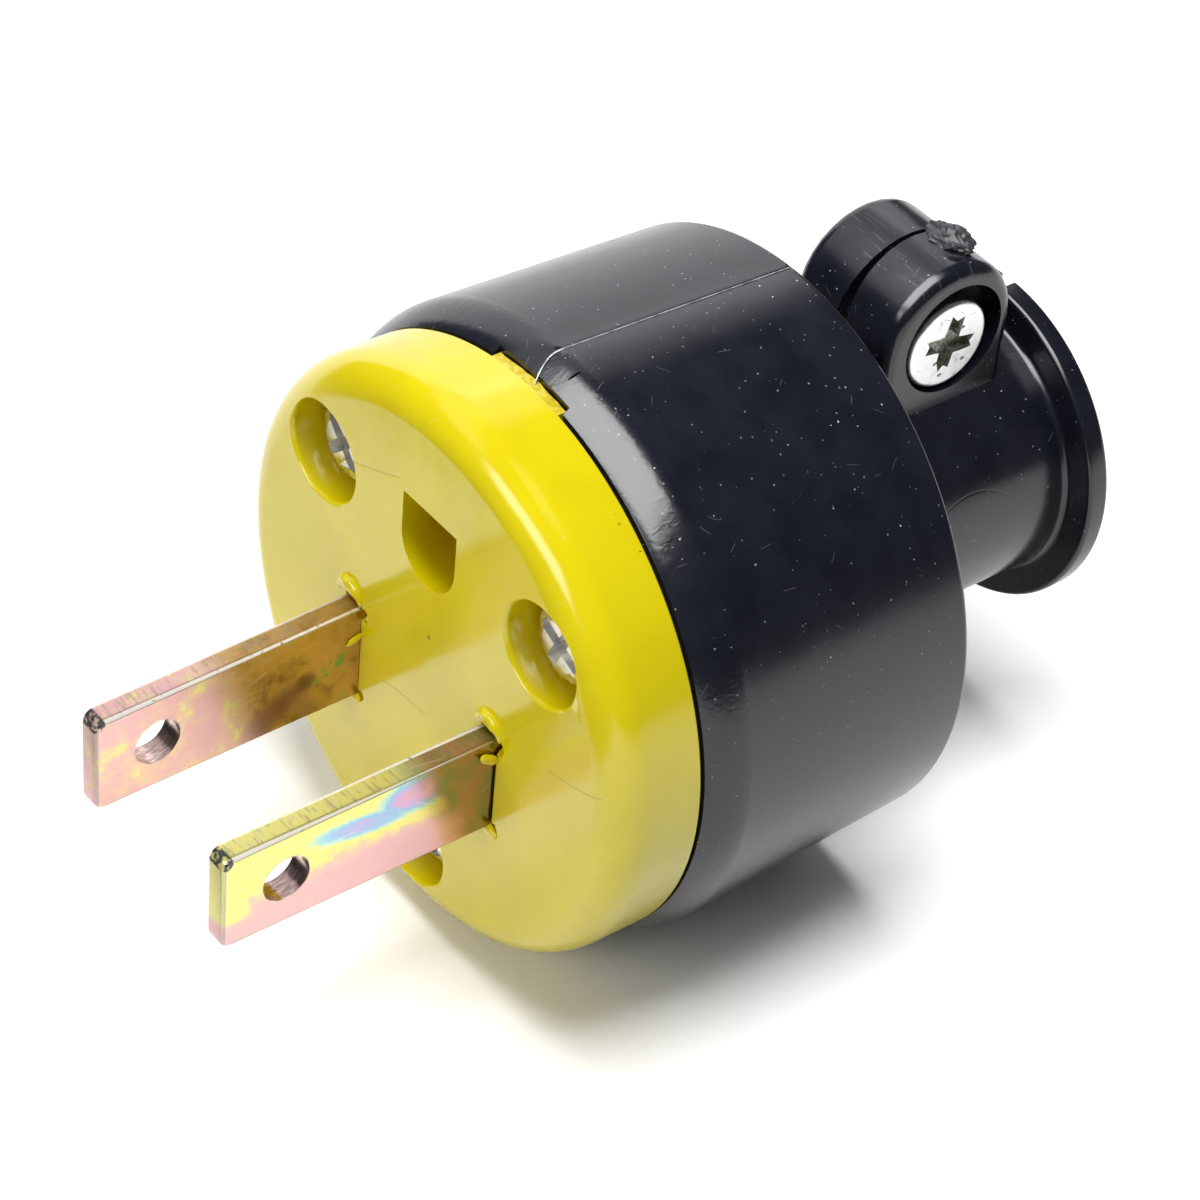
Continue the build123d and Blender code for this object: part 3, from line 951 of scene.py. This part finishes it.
def blend(tree, share, first, second):
    """Mix two colours; a colour is three numbers or another node's output."""
    first, second = ((*colour, 1) if isinstance(colour, tuple) else colour for colour in (first, second))
    return add_node(tree, "ShaderNodeMix", {0: share, 6: first, 7: second}, data_type="RGBA").outputs[2]


def tinted(tree, colour, tint, mask, strength=1.0):
    """A colour with a tint over it where the mask is."""
    return blend(tree, times(tree, mask, strength), colour, tint)


def ramp(tree, value, stops):
    """A colour ramp from (place, colour) stops."""
    node = add_node(tree, "ShaderNodeValToRGB", {"Fac": value})
    while len(node.color_ramp.elements) < len(stops):
        node.color_ramp.elements.new(1.0)
    for element, (place, colour) in zip(node.color_ramp.elements, stops):
        element.position = place
        element.color = (*colour, 1)
    return node.outputs["Color"]


def cloud(tree, vector, scale, detail=3.0, distortion=0.0):
    """Noise around 0.5 at a scale in patches per millimetre."""
    return add_node(
        tree,
        "ShaderNodeTexNoise",
        {"Vector": vector, "Scale": scale, "Detail": detail, "Distortion": distortion},
    ).outputs[0]


def plug_place(tree, turn=(0, 0, 0), stretch=(1, 1, 1)):
    """Object coordinates in millimetres from the middle of the face, turned and stretched for a pattern."""
    source = tree.nodes.new("ShaderNodeTexCoord").outputs["Object"]
    centre = (0, -FACE_Y / MM, -AXIS_Z / MM)
    centred = add_node(
        tree, "ShaderNodeMapping", {"Vector": source, "Location": centre, "Scale": (1 / MM,) * 3}
    ).outputs[0]
    if turn == (0, 0, 0) and stretch == (1, 1, 1):
        return centred
    return add_node(
        tree, "ShaderNodeMapping", {"Vector": centred, "Rotation": turn, "Scale": stretch}
    ).outputs[0]


def apart(tree, vector):
    """X, depth and height of a place."""
    split = add_node(tree, "ShaderNodeSeparateXYZ", {"Vector": vector})
    return split.outputs["X"], split.outputs["Y"], split.outputs["Z"]


def surface(tree, shader, colour, roughness, height, strength):
    """Join a colour, a roughness and a height in millimetres to a shader."""
    tree.links.new(colour, shader.inputs["Base Color"])
    tree.links.new(roughness, shader.inputs["Roughness"])
    bump = add_node(
        tree, "ShaderNodeBump", {"Strength": strength, "Distance": BUMP_DISTANCE * MM, "Height": height}
    )
    tree.links.new(bump.outputs["Normal"], shader.inputs["Normal"])


def effect(name, numbers, output):
    """Start a shader node group with a place and named numbers as inputs, and one named output."""
    group = bpy.data.node_groups.new(name, "ShaderNodeTree")
    group.interface.new_socket("Place", in_out="INPUT", socket_type="NodeSocketVector")
    for label in numbers:
        group.interface.new_socket(label, in_out="INPUT", socket_type="NodeSocketFloat")
    group.interface.new_socket(output, in_out="OUTPUT", socket_type="NodeSocketFloat")
    given = group.nodes.new("NodeGroupInput").outputs
    result = group.nodes.new("NodeGroupOutput").inputs[output]
    return group, given, result


def dust_effect():
    """Small specks, scattered in random cells, with a random size each."""
    group, given, result = effect("dust_specks", ("Per mm", "Size", "Share"), "Mask")
    cells = add_node(group, "ShaderNodeTexVoronoi", {"Vector": given["Place"], "Scale": given["Per mm"]})
    lot = add_node(group, "ShaderNodeSeparateColor", {"Color": cells.outputs["Color"]})
    chosen = maths(group, "LESS_THAN", lot.outputs["Red"], given["Share"])
    radius = times(group, given["Size"], plus(group, lot.outputs["Green"], 0.35))
    dot = maths(group, "LESS_THAN", cells.outputs["Distance"], radius)
    mask = times(group, dot, chosen, plus(group, lot.outputs["Blue"], 0.25), clamp=True)
    group.links.new(mask, result)
    return group


def scratch_effect():
    """Fine, short, slightly bent scratches: a thin disc in each chosen cell, cut by the surface."""
    group, given, result = effect("fine_scratches", ("Per mm", "Width", "Share"), "Mask")
    cells = add_node(group, "ShaderNodeTexVoronoi", {"Vector": given["Place"], "Scale": given["Per mm"]})
    middle = cells.outputs["Position"]
    lot = add_node(group, "ShaderNodeTexWhiteNoise", {"Vector": middle}, noise_dimensions="3D")
    local = vector_maths(group, "SUBTRACT", "Vector", given["Place"], middle)
    spread = vector_maths(group, "SUBTRACT", "Vector", lot.outputs["Color"], (0.5, 0.5, 0.5))
    normal = vector_maths(group, "NORMALIZE", "Vector", spread)
    aside = vector_maths(group, "DOT_PRODUCT", "Value", local, normal)
    bend = times(group, minus(group, cloud(group, given["Place"], 0.5, 1.0), 0.5), 0.6)
    gap = maths(group, "ABSOLUTE", plus(group, aside, bend))
    line = span(group, gap, given["Width"], times(group, given["Width"], 0.4))
    short = span(group, cells.outputs["Distance"], 0.48, 0.30)
    chosen = maths(group, "LESS_THAN", lot.outputs["Value"], given["Share"])
    group.links.new(times(group, line, short, chosen), result)
    return group


def waves_effect():
    """The slow waves and the fine grain of a moulded or plated surface."""
    group, given, result = effect("surface_waves", ("Waves", "Grain"), "Height")
    slow = times(group, cloud(group, given["Place"], 0.35, 2.0), given["Waves"])
    fine = times(group, cloud(group, given["Place"], 9.0, 2.0), given["Grain"])
    group.links.new(plus(group, slow, fine), result)
    return group


def specks(tree, place, per_mm, size, share):
    """Mask of dust specks: cells per millimetre, size and the share of the cells that hold one."""
    sockets = {"Place": place, "Per mm": per_mm, "Size": size, "Share": share}
    return add_node(tree, "ShaderNodeGroup", sockets, node_tree=dust).outputs["Mask"]


def hairlines(tree, place, per_mm, share):
    """Mask of fine scratches: cells per millimetre and the share of the cells that hold one."""
    sockets = {"Place": place, "Per mm": per_mm, "Width": SCRATCH_WIDTH, "Share": share}
    return add_node(tree, "ShaderNodeGroup", sockets, node_tree=scratches).outputs["Mask"]


def waviness(tree, place, slow, fine):
    """Height of slow waves and fine grain, in millimetres."""
    sockets = {"Place": place, "Waves": slow, "Grain": fine}
    return add_node(tree, "ShaderNodeGroup", sockets, node_tree=waves).outputs["Height"]


def short_line(tree, across, height, start, end, width, bow):
    """Mask of a short fine line on the front face between two (x, height) points."""
    length = math.hypot(end[0] - start[0], end[1] - start[1])
    way_x, way_z = (end[0] - start[0]) / length, (end[1] - start[1]) / length
    dx, dz = minus(tree, across, start[0]), minus(tree, height, start[1])
    along = plus(tree, times(tree, dx, way_x), times(tree, dz, way_z))
    aside = minus(tree, times(tree, dz, way_x), times(tree, dx, way_z))
    share = maths(tree, "DIVIDE", along, length)
    curve = times(tree, share, minus(tree, 1.0, share), 4 * bow)
    gap = maths(tree, "ABSOLUTE", minus(tree, aside, curve))
    return times(tree, within(tree, along, 0.0, length, 0.15), span(tree, gap, width, width * 0.4))


def yellow_plastic():
    """Glossy moulded yellow plastic with faint flow marks, pale specks and a few dark ones."""
    material, tree, shader = new_material("cover_yellow", COVER_ROUGHNESS, IOR=COVER_IOR)
    place = plug_place(tree)
    across, depth, height = apart(tree, place)
    flow = cloud(tree, place, 0.12, 3.0, 0.6)
    colour = blend(tree, span(tree, flow, 0.35, 0.65), COVER_COLOUR, COVER_COLOUR_DEEP)
    # Painted shade: a deeper, browner colour inside the recesses and openings and behind the face
    from_axis = add_node(tree, "ShaderNodeCombineXYZ", {"X": across, "Z": height}).outputs[0]
    radius = vector_maths(tree, "LENGTH", "Value", from_axis)
    inside = times(tree, span(tree, depth, *COVER_RECESS_SHADE_DEPTHS), span(tree, radius, *COVER_RECESS_SHADE_RADII))
    colour = tinted(tree, colour, COVER_RECESS_SHADE, inside, 0.65)
    colour = tinted(tree, colour, COVER_PALE_SPECK, specks(tree, place, *COVER_PALE_SPECKS), 0.22)
    dark = specks(tree, plug_place(tree, turn=(0.4, 0.9, 0.2)), *COVER_DARK_SPECKS)
    colour = tinted(tree, colour, COVER_DARK_SPECK, dark)
    scratched = hairlines(tree, place, 0.70, 0.13)
    colour = tinted(tree, colour, COVER_SCRATCH, scratched, 0.10)
    # Faint lines moulded in the face
    lines = 0.0
    for face_line in FACE_LINES:
        lines = maths(tree, "MAXIMUM", short_line(tree, across, height, *face_line), lines)
    lines = times(tree, lines, span(tree, depth, *FACE_SKIN))
    colour = tinted(tree, colour, COVER_LINE, lines, 0.5)
    # The trimmed edge of the key is torn
    trimmed = times(tree, span(tree, depth, *TRIMMED_DEPTHS), span(tree, height, *TRIMMED_HEIGHTS))
    ragged = cloud(tree, place, 3.2, 4.0)
    colour = tinted(tree, colour, ramp(tree, ragged, COVER_TRIMMED), trimmed, 0.85)
    roughness = plus(
        tree,
        COVER_ROUGHNESS,
        times(tree, flow, 0.06),
        times(tree, scratched, 0.2),
        times(tree, trimmed, 0.25),
        clamp=True,
    )
    height_mm = minus(tree, waviness(tree, place, 0.25, 0.006), times(tree, lines, 0.05))
    height_mm = plus(tree, height_mm, times(tree, trimmed, ragged, 0.5))
    surface(tree, shader, colour, roughness, height_mm, 0.35)
    return material


def black_plastic():
    """Glossy moulded black plastic, dusty and finely scratched, rippled on its rim, scraped on its ears,
    with a painted highlight along its parting line.
    """
    material, tree, shader = new_material("shell_black", SHELL_ROUGHNESS, IOR=SHELL_IOR)
    place = plug_place(tree)
    across, depth, height = apart(tree, place)
    tone = cloud(tree, place, 0.4, 4.0, 0.3)
    colour = blend(tree, span(tree, tone, 0.3, 0.7), SHELL_COLOUR, SHELL_COLOUR_PALE)
    colour = tinted(tree, colour, SHELL_SPECK, specks(tree, place, *SHELL_SPECKS), 0.55)
    powder = specks(tree, plug_place(tree, turn=(0.7, 0.2, 0.5)), *SHELL_POWDER_SPECKS)
    colour = tinted(tree, colour, SHELL_POWDER, powder, 0.28)
    scratched = hairlines(tree, place, 0.95, 0.13)
    colour = tinted(tree, colour, SHELL_SCRATCH, scratched, 0.07)
    # Scraped bands on the tops of the ears
    over_ears = times(tree, span(tree, height, *EAR_TOP_HEIGHTS), within(tree, depth, *EAR_TOP_DEPTHS, 0.8))
    grain = cloud(tree, plug_place(tree, turn=(0, 0, 0.35), stretch=(0.5, 5.0, 0.5)), 1.0, 4.0)
    scraped = times(tree, over_ears, span(tree, grain, 0.56, 0.74))
    colour = tinted(tree, colour, SHELL_SCRAPED, scraped, 0.07)
    # Painted highlight: the parting line and its fin are painted pale, most of all near the rim
    ahead = maths(tree, "MAXIMUM", minus(tree, FLASH_START, depth), 0.0)
    slide = maths(tree, "POWER", maths(tree, "DIVIDE", ahead, FLASH_RUN), FLASH_BEND)
    line_x = plus(tree, times(tree, slide, FLASH_LEAN), LINE_SHIFT)
    from_line = maths(tree, "ABSOLUTE", minus(tree, across, line_x))
    line_highlight = times(
        tree,
        span(tree, from_line, *LINE_HIGHLIGHT_REACH),
        span(tree, height, *LINE_HIGHLIGHT_HEIGHTS),
        within(tree, depth, 5.6, BACK_DEPTH, 0.2),
    )
    highlight_near_rim = plus(tree, 0.32, times(tree, span(tree, depth, 8.2, 7.4), 1.1))
    patchy = plus(tree, span(tree, cloud(tree, place, 1.3, 3.0), 0.30, 0.55), 0.25)
    colour = blend(tree, times(tree, line_highlight, times(tree, highlight_near_rim, patchy)), colour, SHELL_LINE_HIGHLIGHT)
    # The broken stub of the gate is dull
    from_gate = vector_maths(tree, "DISTANCE", "Value", place, EAR_GATE[1])
    gate = times(tree, span(tree, from_gate, *GATE_REACH), span(tree, height, *GATE_HEIGHTS))
    colour = tinted(tree, colour, SHELL_GATE, gate, 0.6)
    roughness = plus(
        tree,
        SHELL_ROUGHNESS,
        times(tree, tone, 0.06),
        times(tree, scratched, 0.2),
        times(tree, gate, 0.35),
        times(tree, scraped, 0.12),
        clamp=True,
    )
    # Fine waves under the gloss of the moulded rim
    rim = within(tree, depth, RIM_FRONT, RIM_BACK + 0.1, 0.25)
    ripple = cloud(tree, plug_place(tree, stretch=(1.0, 0.6, 1.0)), 2.2, 3.0, 0.8)
    height_mm = plus(
        tree,
        waviness(tree, place, 0.10, 0.010),
        times(tree, rim, ripple, 0.09),
        times(tree, scraped, 0.006),
    )
    # The faint round mark of an ejector on the neck
    off_mark = squares(tree, minus(tree, depth, EJECTOR_DEPTH), minus(tree, height, EJECTOR_RISE))
    ring = within(tree, maths(tree, "SQRT", off_mark), *EJECTOR_RING, 0.05)
    mark = times(tree, ring, span(tree, across, 5.0, 6.0))
    height_mm = minus(tree, height_mm, times(tree, mark, 0.03))
    surface(tree, shader, colour, roughness, height_mm, 0.3)
    return material


def patch(tree, depth, height, place, size, lean):
    """Mask of a soft oval patch on a blade at (depth, height), with half sizes, leaning with the depth."""
    along = minus(tree, depth, place[0])
    above = minus(tree, minus(tree, height, place[1]), times(tree, along, lean))
    along, above = maths(tree, "DIVIDE", along, size[0]), maths(tree, "DIVIDE", above, size[1])
    return span(tree, squares(tree, along, above), 1.0, 0.0)


def chromate_plating():
    """Yellow chromate over zinc: interference colours, different on the two blades, and rubbed edges
    painted near-white as a highlight.
    """
    material, tree, shader = new_material("blade_plating", PLATING_ROUGHNESS, Metallic=1.0)
    place = plug_place(tree)
    across, depth, height = apart(tree, place)
    in_front = maths(tree, "MINIMUM", depth, 0.0)
    level = minus(tree, minus(tree, height, BLADE_RISE), times(tree, in_front, DROOP))
    drift = minus(tree, cloud(tree, place, 0.55, 4.0, 0.5), 0.5)
    mottle = minus(tree, cloud(tree, place, 2.4, 4.0, 0.3), 0.5)
    # Right blade: pink below, yellow above and at the tip, two blue lenses, brown at the root
    yellow = span(tree, plus(tree, level, times(tree, drift, 2.5)), *YELLOW_LEVELS)
    tip = span(tree, plus(tree, depth, times(tree, drift, 1.5)), *YELLOW_TIP_DEPTHS)
    tip = times(tree, tip, span(tree, level, *YELLOW_TIP_LEVELS))
    yellow = maths(tree, "MAXIMUM", yellow, tip)
    first = times(tree, patch(tree, depth, level, *BLUE_LENS), 0.30)
    second = times(tree, patch(tree, depth, level, *BLUE_LENS_ROOT), 0.38)
    blue = maths(tree, "MAXIMUM", first, second)
    film = plus(tree, times(tree, yellow, 0.25), blue, times(tree, mottle, 0.16))
    from_root = plus(tree, depth, times(tree, drift, 2.0), times(tree, level, 0.45))
    root = span(tree, from_root, *SCORCHED_DEPTHS)
    heat = plus(tree, times(tree, drift, 1.5), times(tree, mottle, 0.2), 0.5)
    right_colour = blend(tree, root, ramp(tree, film, FILM), ramp(tree, heat, FILM_SCORCHED))
    # Left blade: pink at the tip, golden brown towards the root
    thin = plus(tree, times(tree, drift, 0.70), times(tree, mottle, 0.34), 0.06)
    browned = span(tree, plus(tree, depth, times(tree, level, 0.35)), *GOLD_DEPTHS)
    gold = ramp(tree, plus(tree, drift, times(tree, mottle, 0.45), 0.55), FILM_GOLD)
    gold = tinted(tree, gold, PURPLE, patch(tree, depth, level, *PURPLE_PATCH), 0.75)
    gold = tinted(tree, gold, DARK_BROWN, patch(tree, depth, level, *BROWN_SPOT), 0.7)
    green = times(tree, patch(tree, depth, level, *GREEN_PATCH), span(tree, mottle, -0.02, 0.08))
    gold = blend(tree, green, gold, GREEN)
    left_colour = blend(tree, browned, ramp(tree, thin, FILM), gold)
    colour = blend(tree, span(tree, across, -0.1, 0.1), left_colour, right_colour)
    # Edges rubbed down to zinc and painted near-white as a painted highlight along the top bevels and tip
    # ends, and the dark worn corner of each tip
    lean = times(tree, maths(tree, "GREATER_THAN", across, 0.0), RIGHT_LEAN)
    straight = minus(tree, maths(tree, "ABSOLUTE", across), times(tree, lean, in_front))
    from_middle = maths(tree, "ABSOLUTE", minus(tree, straight, BLADE_X))
    rounded = span(tree, from_middle, *ROUNDED_REACH)
    high_edge = times(tree, rounded, span(tree, level, *ROUNDED_LEVELS))
    rubbed_and_highlight = times(tree, high_edge, span(tree, cloud(tree, place, 2.0, 3.0), 0.22, 0.40))
    end_edge = times(tree, span(tree, depth, *END_EDGE_DEPTHS), rounded)
    rubbed_and_highlight = maths(tree, "MAXIMUM", rubbed_and_highlight, times(tree, end_edge, 0.35))
    colour = tinted(tree, colour, RUBBED_ZINC_AND_HIGHLIGHT, rubbed_and_highlight, 0.85)
    corner = span(tree, patch(tree, depth, level, *WORN_CORNER), 0.3, 0.6)
    colour = blend(tree, times(tree, corner, span(tree, mottle, -0.10, 0.02)), colour, WORN_BLACK)
    # The sheared faces of the strip are striated
    side_on = times(tree, span(tree, from_middle, *STRIP_REACH), span(tree, level, *STRIP_LEVELS))
    shear_lines = cloud(tree, plug_place(tree, stretch=(0.7, 5.0, 0.7)), 1.0, 3.0)
    striped = times(tree, side_on, span(tree, shear_lines, 0.50, 0.34))
    colour = tinted(tree, colour, SHEAR_DARK, striped, 0.55)
    # The walls of the drilled holes are ringed along the drill marks, and painted dark and pale as painted
    # shade and highlight
    from_hole = maths(tree, "SQRT", squares(tree, minus(tree, depth, HOLE_DEPTH), level))
    bore_shading = span(tree, from_hole, HOLE_R + 0.10, HOLE_R + 0.03)
    rings = cloud(tree, plug_place(tree, stretch=(9.0, 2.0, 2.0)), 1.0, 3.0)
    colour = tinted(tree, colour, ramp(tree, rings, BORE_WALL_SHADE_AND_HIGHLIGHT), bore_shading, 0.8)
    # Bright pinholes and hairlines
    colour = tinted(tree, colour, PLATING_PINHOLE, specks(tree, place, *PINHOLES), 0.5)
    hair = hairlines(tree, plug_place(tree, stretch=(1, 0.3, 1.4)), 0.9, 0.45)
    colour = tinted(tree, colour, PLATING_HAIR, hair, 0.3)
    roughness = plus(
        tree, PLATING_ROUGHNESS, times(tree, mottle, 0.15), times(tree, side_on, 0.12), clamp=True
    )
    height_mm = plus(tree, waviness(tree, place, 0.05, 0.008), times(tree, side_on, shear_lines, 0.04))
    bare = plus(tree, times(tree, rubbed_and_highlight, 0.85), times(tree, side_on, 0.30))
    end_on = times(tree, span(tree, depth, *END_FACE_DEPTHS), 0.55)
    metal = minus(tree, minus(tree, 1.0, bare), end_on, clamp=True)
    tree.links.new(metal, shader.inputs["Metallic"])
    surface(tree, shader, colour, roughness, height_mm, 0.45)
    return material


def bright_zinc(name, roughness, scar):
    """Zinc-plated steel: grey blotches, fine grain and driver scars."""
    material, tree, shader = new_material(name, roughness, Metallic=1.0)
    place = plug_place(tree)
    blotch = cloud(tree, place, 1.1, 4.0, 0.4)
    colour = ramp(tree, blotch, ZINC)
    colour = tinted(tree, colour, ZINC_HAIR, hairlines(tree, place, 1.2, 0.35), scar)
    grain = cloud(tree, place, 4.0, 4.0, 0.6)
    rough = plus(tree, roughness, times(tree, blotch, 0.12), clamp=True)
    # The torn slot of the clamp screw is dull and greyish
    across, depth, height = apart(tree, place)
    in_head = within(tree, across, *SLOT_INSIDE, 0.06)
    off_axis = squares(tree, minus(tree, depth, EAR_DEPTH), minus(tree, height, CLAMP_RISE))
    torn = times(tree, in_head, span(tree, off_axis, *SLOT_REACH_SQUARED))
    colour = blend(tree, torn, colour, ramp(tree, grain, ZINC_TORN))
    metal = minus(tree, 1.0, times(tree, torn, 0.45))
    tree.links.new(metal, shader.inputs["Metallic"])
    height_mm = plus(tree, times(tree, grain, 0.10 * scar), waviness(tree, place, 0.05, 0.01))
    surface(tree, shader, colour, rough, height_mm, 0.5)
    return material


def turned_brass():
    """Brass turned on a lathe: fine rings along the insert and a slight tarnish."""
    material, tree, shader = new_material("insert_brass", BRASS_ROUGHNESS, Metallic=1.0)
    place = plug_place(tree)
    depth = apart(tree, place)[1]
    tarnish = cloud(tree, place, 0.9, 4.0, 0.4)
    colour = blend(tree, span(tree, tarnish, 0.35, 0.7), BRASS, BRASS_TARNISHED)
    rings = maths(tree, "SINE", times(tree, depth, 2 * math.pi / BRASS_RING))
    rough = plus(tree, BRASS_ROUGHNESS, times(tree, tarnish, 0.2), clamp=True)
    height_mm = plus(tree, times(tree, rings, 0.01), waviness(tree, place, 0.04, 0.01))
    surface(tree, shader, colour, rough, height_mm, 0.4)
    return material


def photo_camera():
    """The camera at the photograph's place, with its slight roll."""
    sin_a, cos_a = math.sin(CAMERA_AZIMUTH), math.cos(CAMERA_AZIMUTH)
    sin_e, cos_e = math.sin(CAMERA_ELEVATION), math.cos(CAMERA_ELEVATION)
    back = Vector((sin_a * cos_e, -cos_a * cos_e, sin_e))
    right = Vector((cos_a, sin_a, 0))
    up = back.cross(right)
    turn = Matrix.Rotation(CAMERA_ROLL, 3, back)
    right, up = turn @ right, turn @ up
    aim = Vector((0, FACE_Y + AIM_DEPTH, AXIS_Z)) + right * AIM_RIGHT + up * AIM_UP
    data = bpy.data.cameras.new("photo_camera")
    data.lens = CAMERA_LENS
    data.sensor_width = 36
    data.clip_start = 0.01
    camera = bpy.data.objects.new("photo_camera", data)
    facing = Matrix((right, up, back)).transposed().to_4x4()
    camera.matrix_world = Matrix.Translation(aim + back * CAMERA_DISTANCE) @ facing
    bpy.context.scene.collection.objects.link(camera)
    bpy.context.scene.camera = camera


def white_floor():
    """A pale floor: white where the camera or a reflection sees it lit, and it keeps the soft shadow."""
    mesh = bmesh.new()
    bmesh.ops.create_grid(mesh, x_segments=1, y_segments=1, size=FLOOR_SIZE)
    floor = thing("floor", mesh)
    material = bpy.data.materials.new("white_table")
    material.use_nodes = True
    tree = material.node_tree
    tree.nodes.remove(tree.nodes["Principled BSDF"])
    path = tree.nodes.new("ShaderNodeLightPath").outputs
    mirrored = maths(tree, "MAXIMUM", path["Is Glossy Ray"], path["Is Transmission Ray"])
    # In reflections the white sheet ends in front of the plug
    place = tree.nodes.new("ShaderNodeTexCoord").outputs["Object"]
    across, depth = apart(tree, place)[:2]
    slanted = plus(tree, depth, times(tree, maths(tree, "MAXIMUM", across, 0.0), SHEET_SLANT))
    on_sheet = span(tree, slanted, (SHEET_END - SHEET_FADE) * MM, SHEET_END * MM)
    reflected = blend(tree, on_sheet, (FLOOR_BEYOND_SHEET,) * 3, (FLOOR_MIRRORED,) * 3)
    shade = blend(tree, mirrored, (FLOOR_BOUNCE,) * 3, reflected)
    # The camera sees the far floor white too, though the box above lights it less there
    far = vector_maths(tree, "LENGTH", "Value", place)
    tilt = maths(tree, "DIVIDE", far, BOX_DISTANCE)
    loss = maths(tree, "POWER", plus(tree, times(tree, tilt, tilt), 1.0), 2.0)
    shade = blend(tree, path["Is Camera Ray"], shade, times(tree, loss, FLOOR_SEEN))
    matt = tree.nodes.new("ShaderNodeBsdfDiffuse")
    tree.links.new(shade, matt.inputs["Color"])
    tree.links.new(matt.outputs[0], tree.nodes["Material Output"].inputs["Surface"])
    floor.data.materials.append(material)


def soft_box(name, azimuth, elevation, width, height, radiance, in_mirrors=True):
    """A soft box; its place and size are angles seen from the plug, with azimuth 0 at the cord's end."""
    turn, rise = math.radians(azimuth), math.radians(elevation)
    centre = Vector((0, 0, AXIS_Z))
    way = Vector((math.sin(turn) * math.cos(rise), math.cos(turn) * math.cos(rise), math.sin(rise)))
    size = [2 * BOX_DISTANCE * math.tan(math.radians(angle / 2)) for angle in (width, height)]
    data = bpy.data.lights.new(name, "AREA")
    data.shape = "RECTANGLE"
    data.size, data.size_y = size
    data.energy = radiance * math.pi * size[0] * size[1]
    lamp = bpy.data.objects.new(name, data)
    lamp.location = centre + way * BOX_DISTANCE
    lamp.rotation_euler = way.to_track_quat("Z", "Y").to_euler()
    lamp.visible_glossy = in_mirrors
    lamp.visible_camera = False
    bpy.context.scene.collection.objects.link(lamp)
    return lamp


def studio():
    """A pale room with soft boxes at the left and back, in front and above, and one for the shell's rim."""
    world = bpy.data.worlds.new("studio")
    bpy.context.scene.world = world
    world.use_nodes = True
    tree = world.node_tree
    path = tree.nodes.new("ShaderNodeLightPath").outputs
    room = blend(tree, path["Is Glossy Ray"], (ROOM_LIGHT,) * 3, ROOM_MIRRORED)
    room = blend(tree, path["Is Camera Ray"], room, (1, 1, 1))
    tree.links.new(room, tree.nodes["Background"].inputs["Color"])
    for name, place in SOFT_BOXES.items():
        soft_box(name, *place)
    soft_box("overhead_box", *OVERHEAD_BOX, in_mirrors=False)
    rim_box = soft_box("rim_box", *RIM_BOX)
    # A flag keeps this box off everything but the shell, whose rim mirrors it
    lit = bpy.data.collections.new("lit_by_rim_box")
    lit.objects.link(shell)
    rim_box.light_linking.receiver_collection = lit


dust = dust_effect()
scratches = scratch_effect()
waves = waves_effect()
looks = {
    "cover_yellow": yellow_plastic(),
    "shell_black": black_plastic(),
    "blade_plating": chromate_plating(),
    "zinc_plate": bright_zinc("zinc_plate", 0.30, 0.4),
    "zinc_screw": bright_zinc("zinc_screw", 0.26, 0.5),
    "insert_brass": turned_brass(),
}
for entry in frame["record"]["subparts"]:
    node = frame["nodes"][entry["node"]]
    node.data.materials.clear()
    node.data.materials.append(looks[entry["material_slot"]])

build_cover()
shell = build_shell()
build_burrs()
for number, (node, turn) in enumerate(zip(SCREW_NODES, COVER_CROSS_TURNS), 1):
    build_cover_screw(node, number, turn)
build_clamp_screw()
for side in (-1, 1):
    build_blade(side)
photo_camera()
studio()
white_floor()
bpy.context.scene.view_settings.view_transform = "Standard"
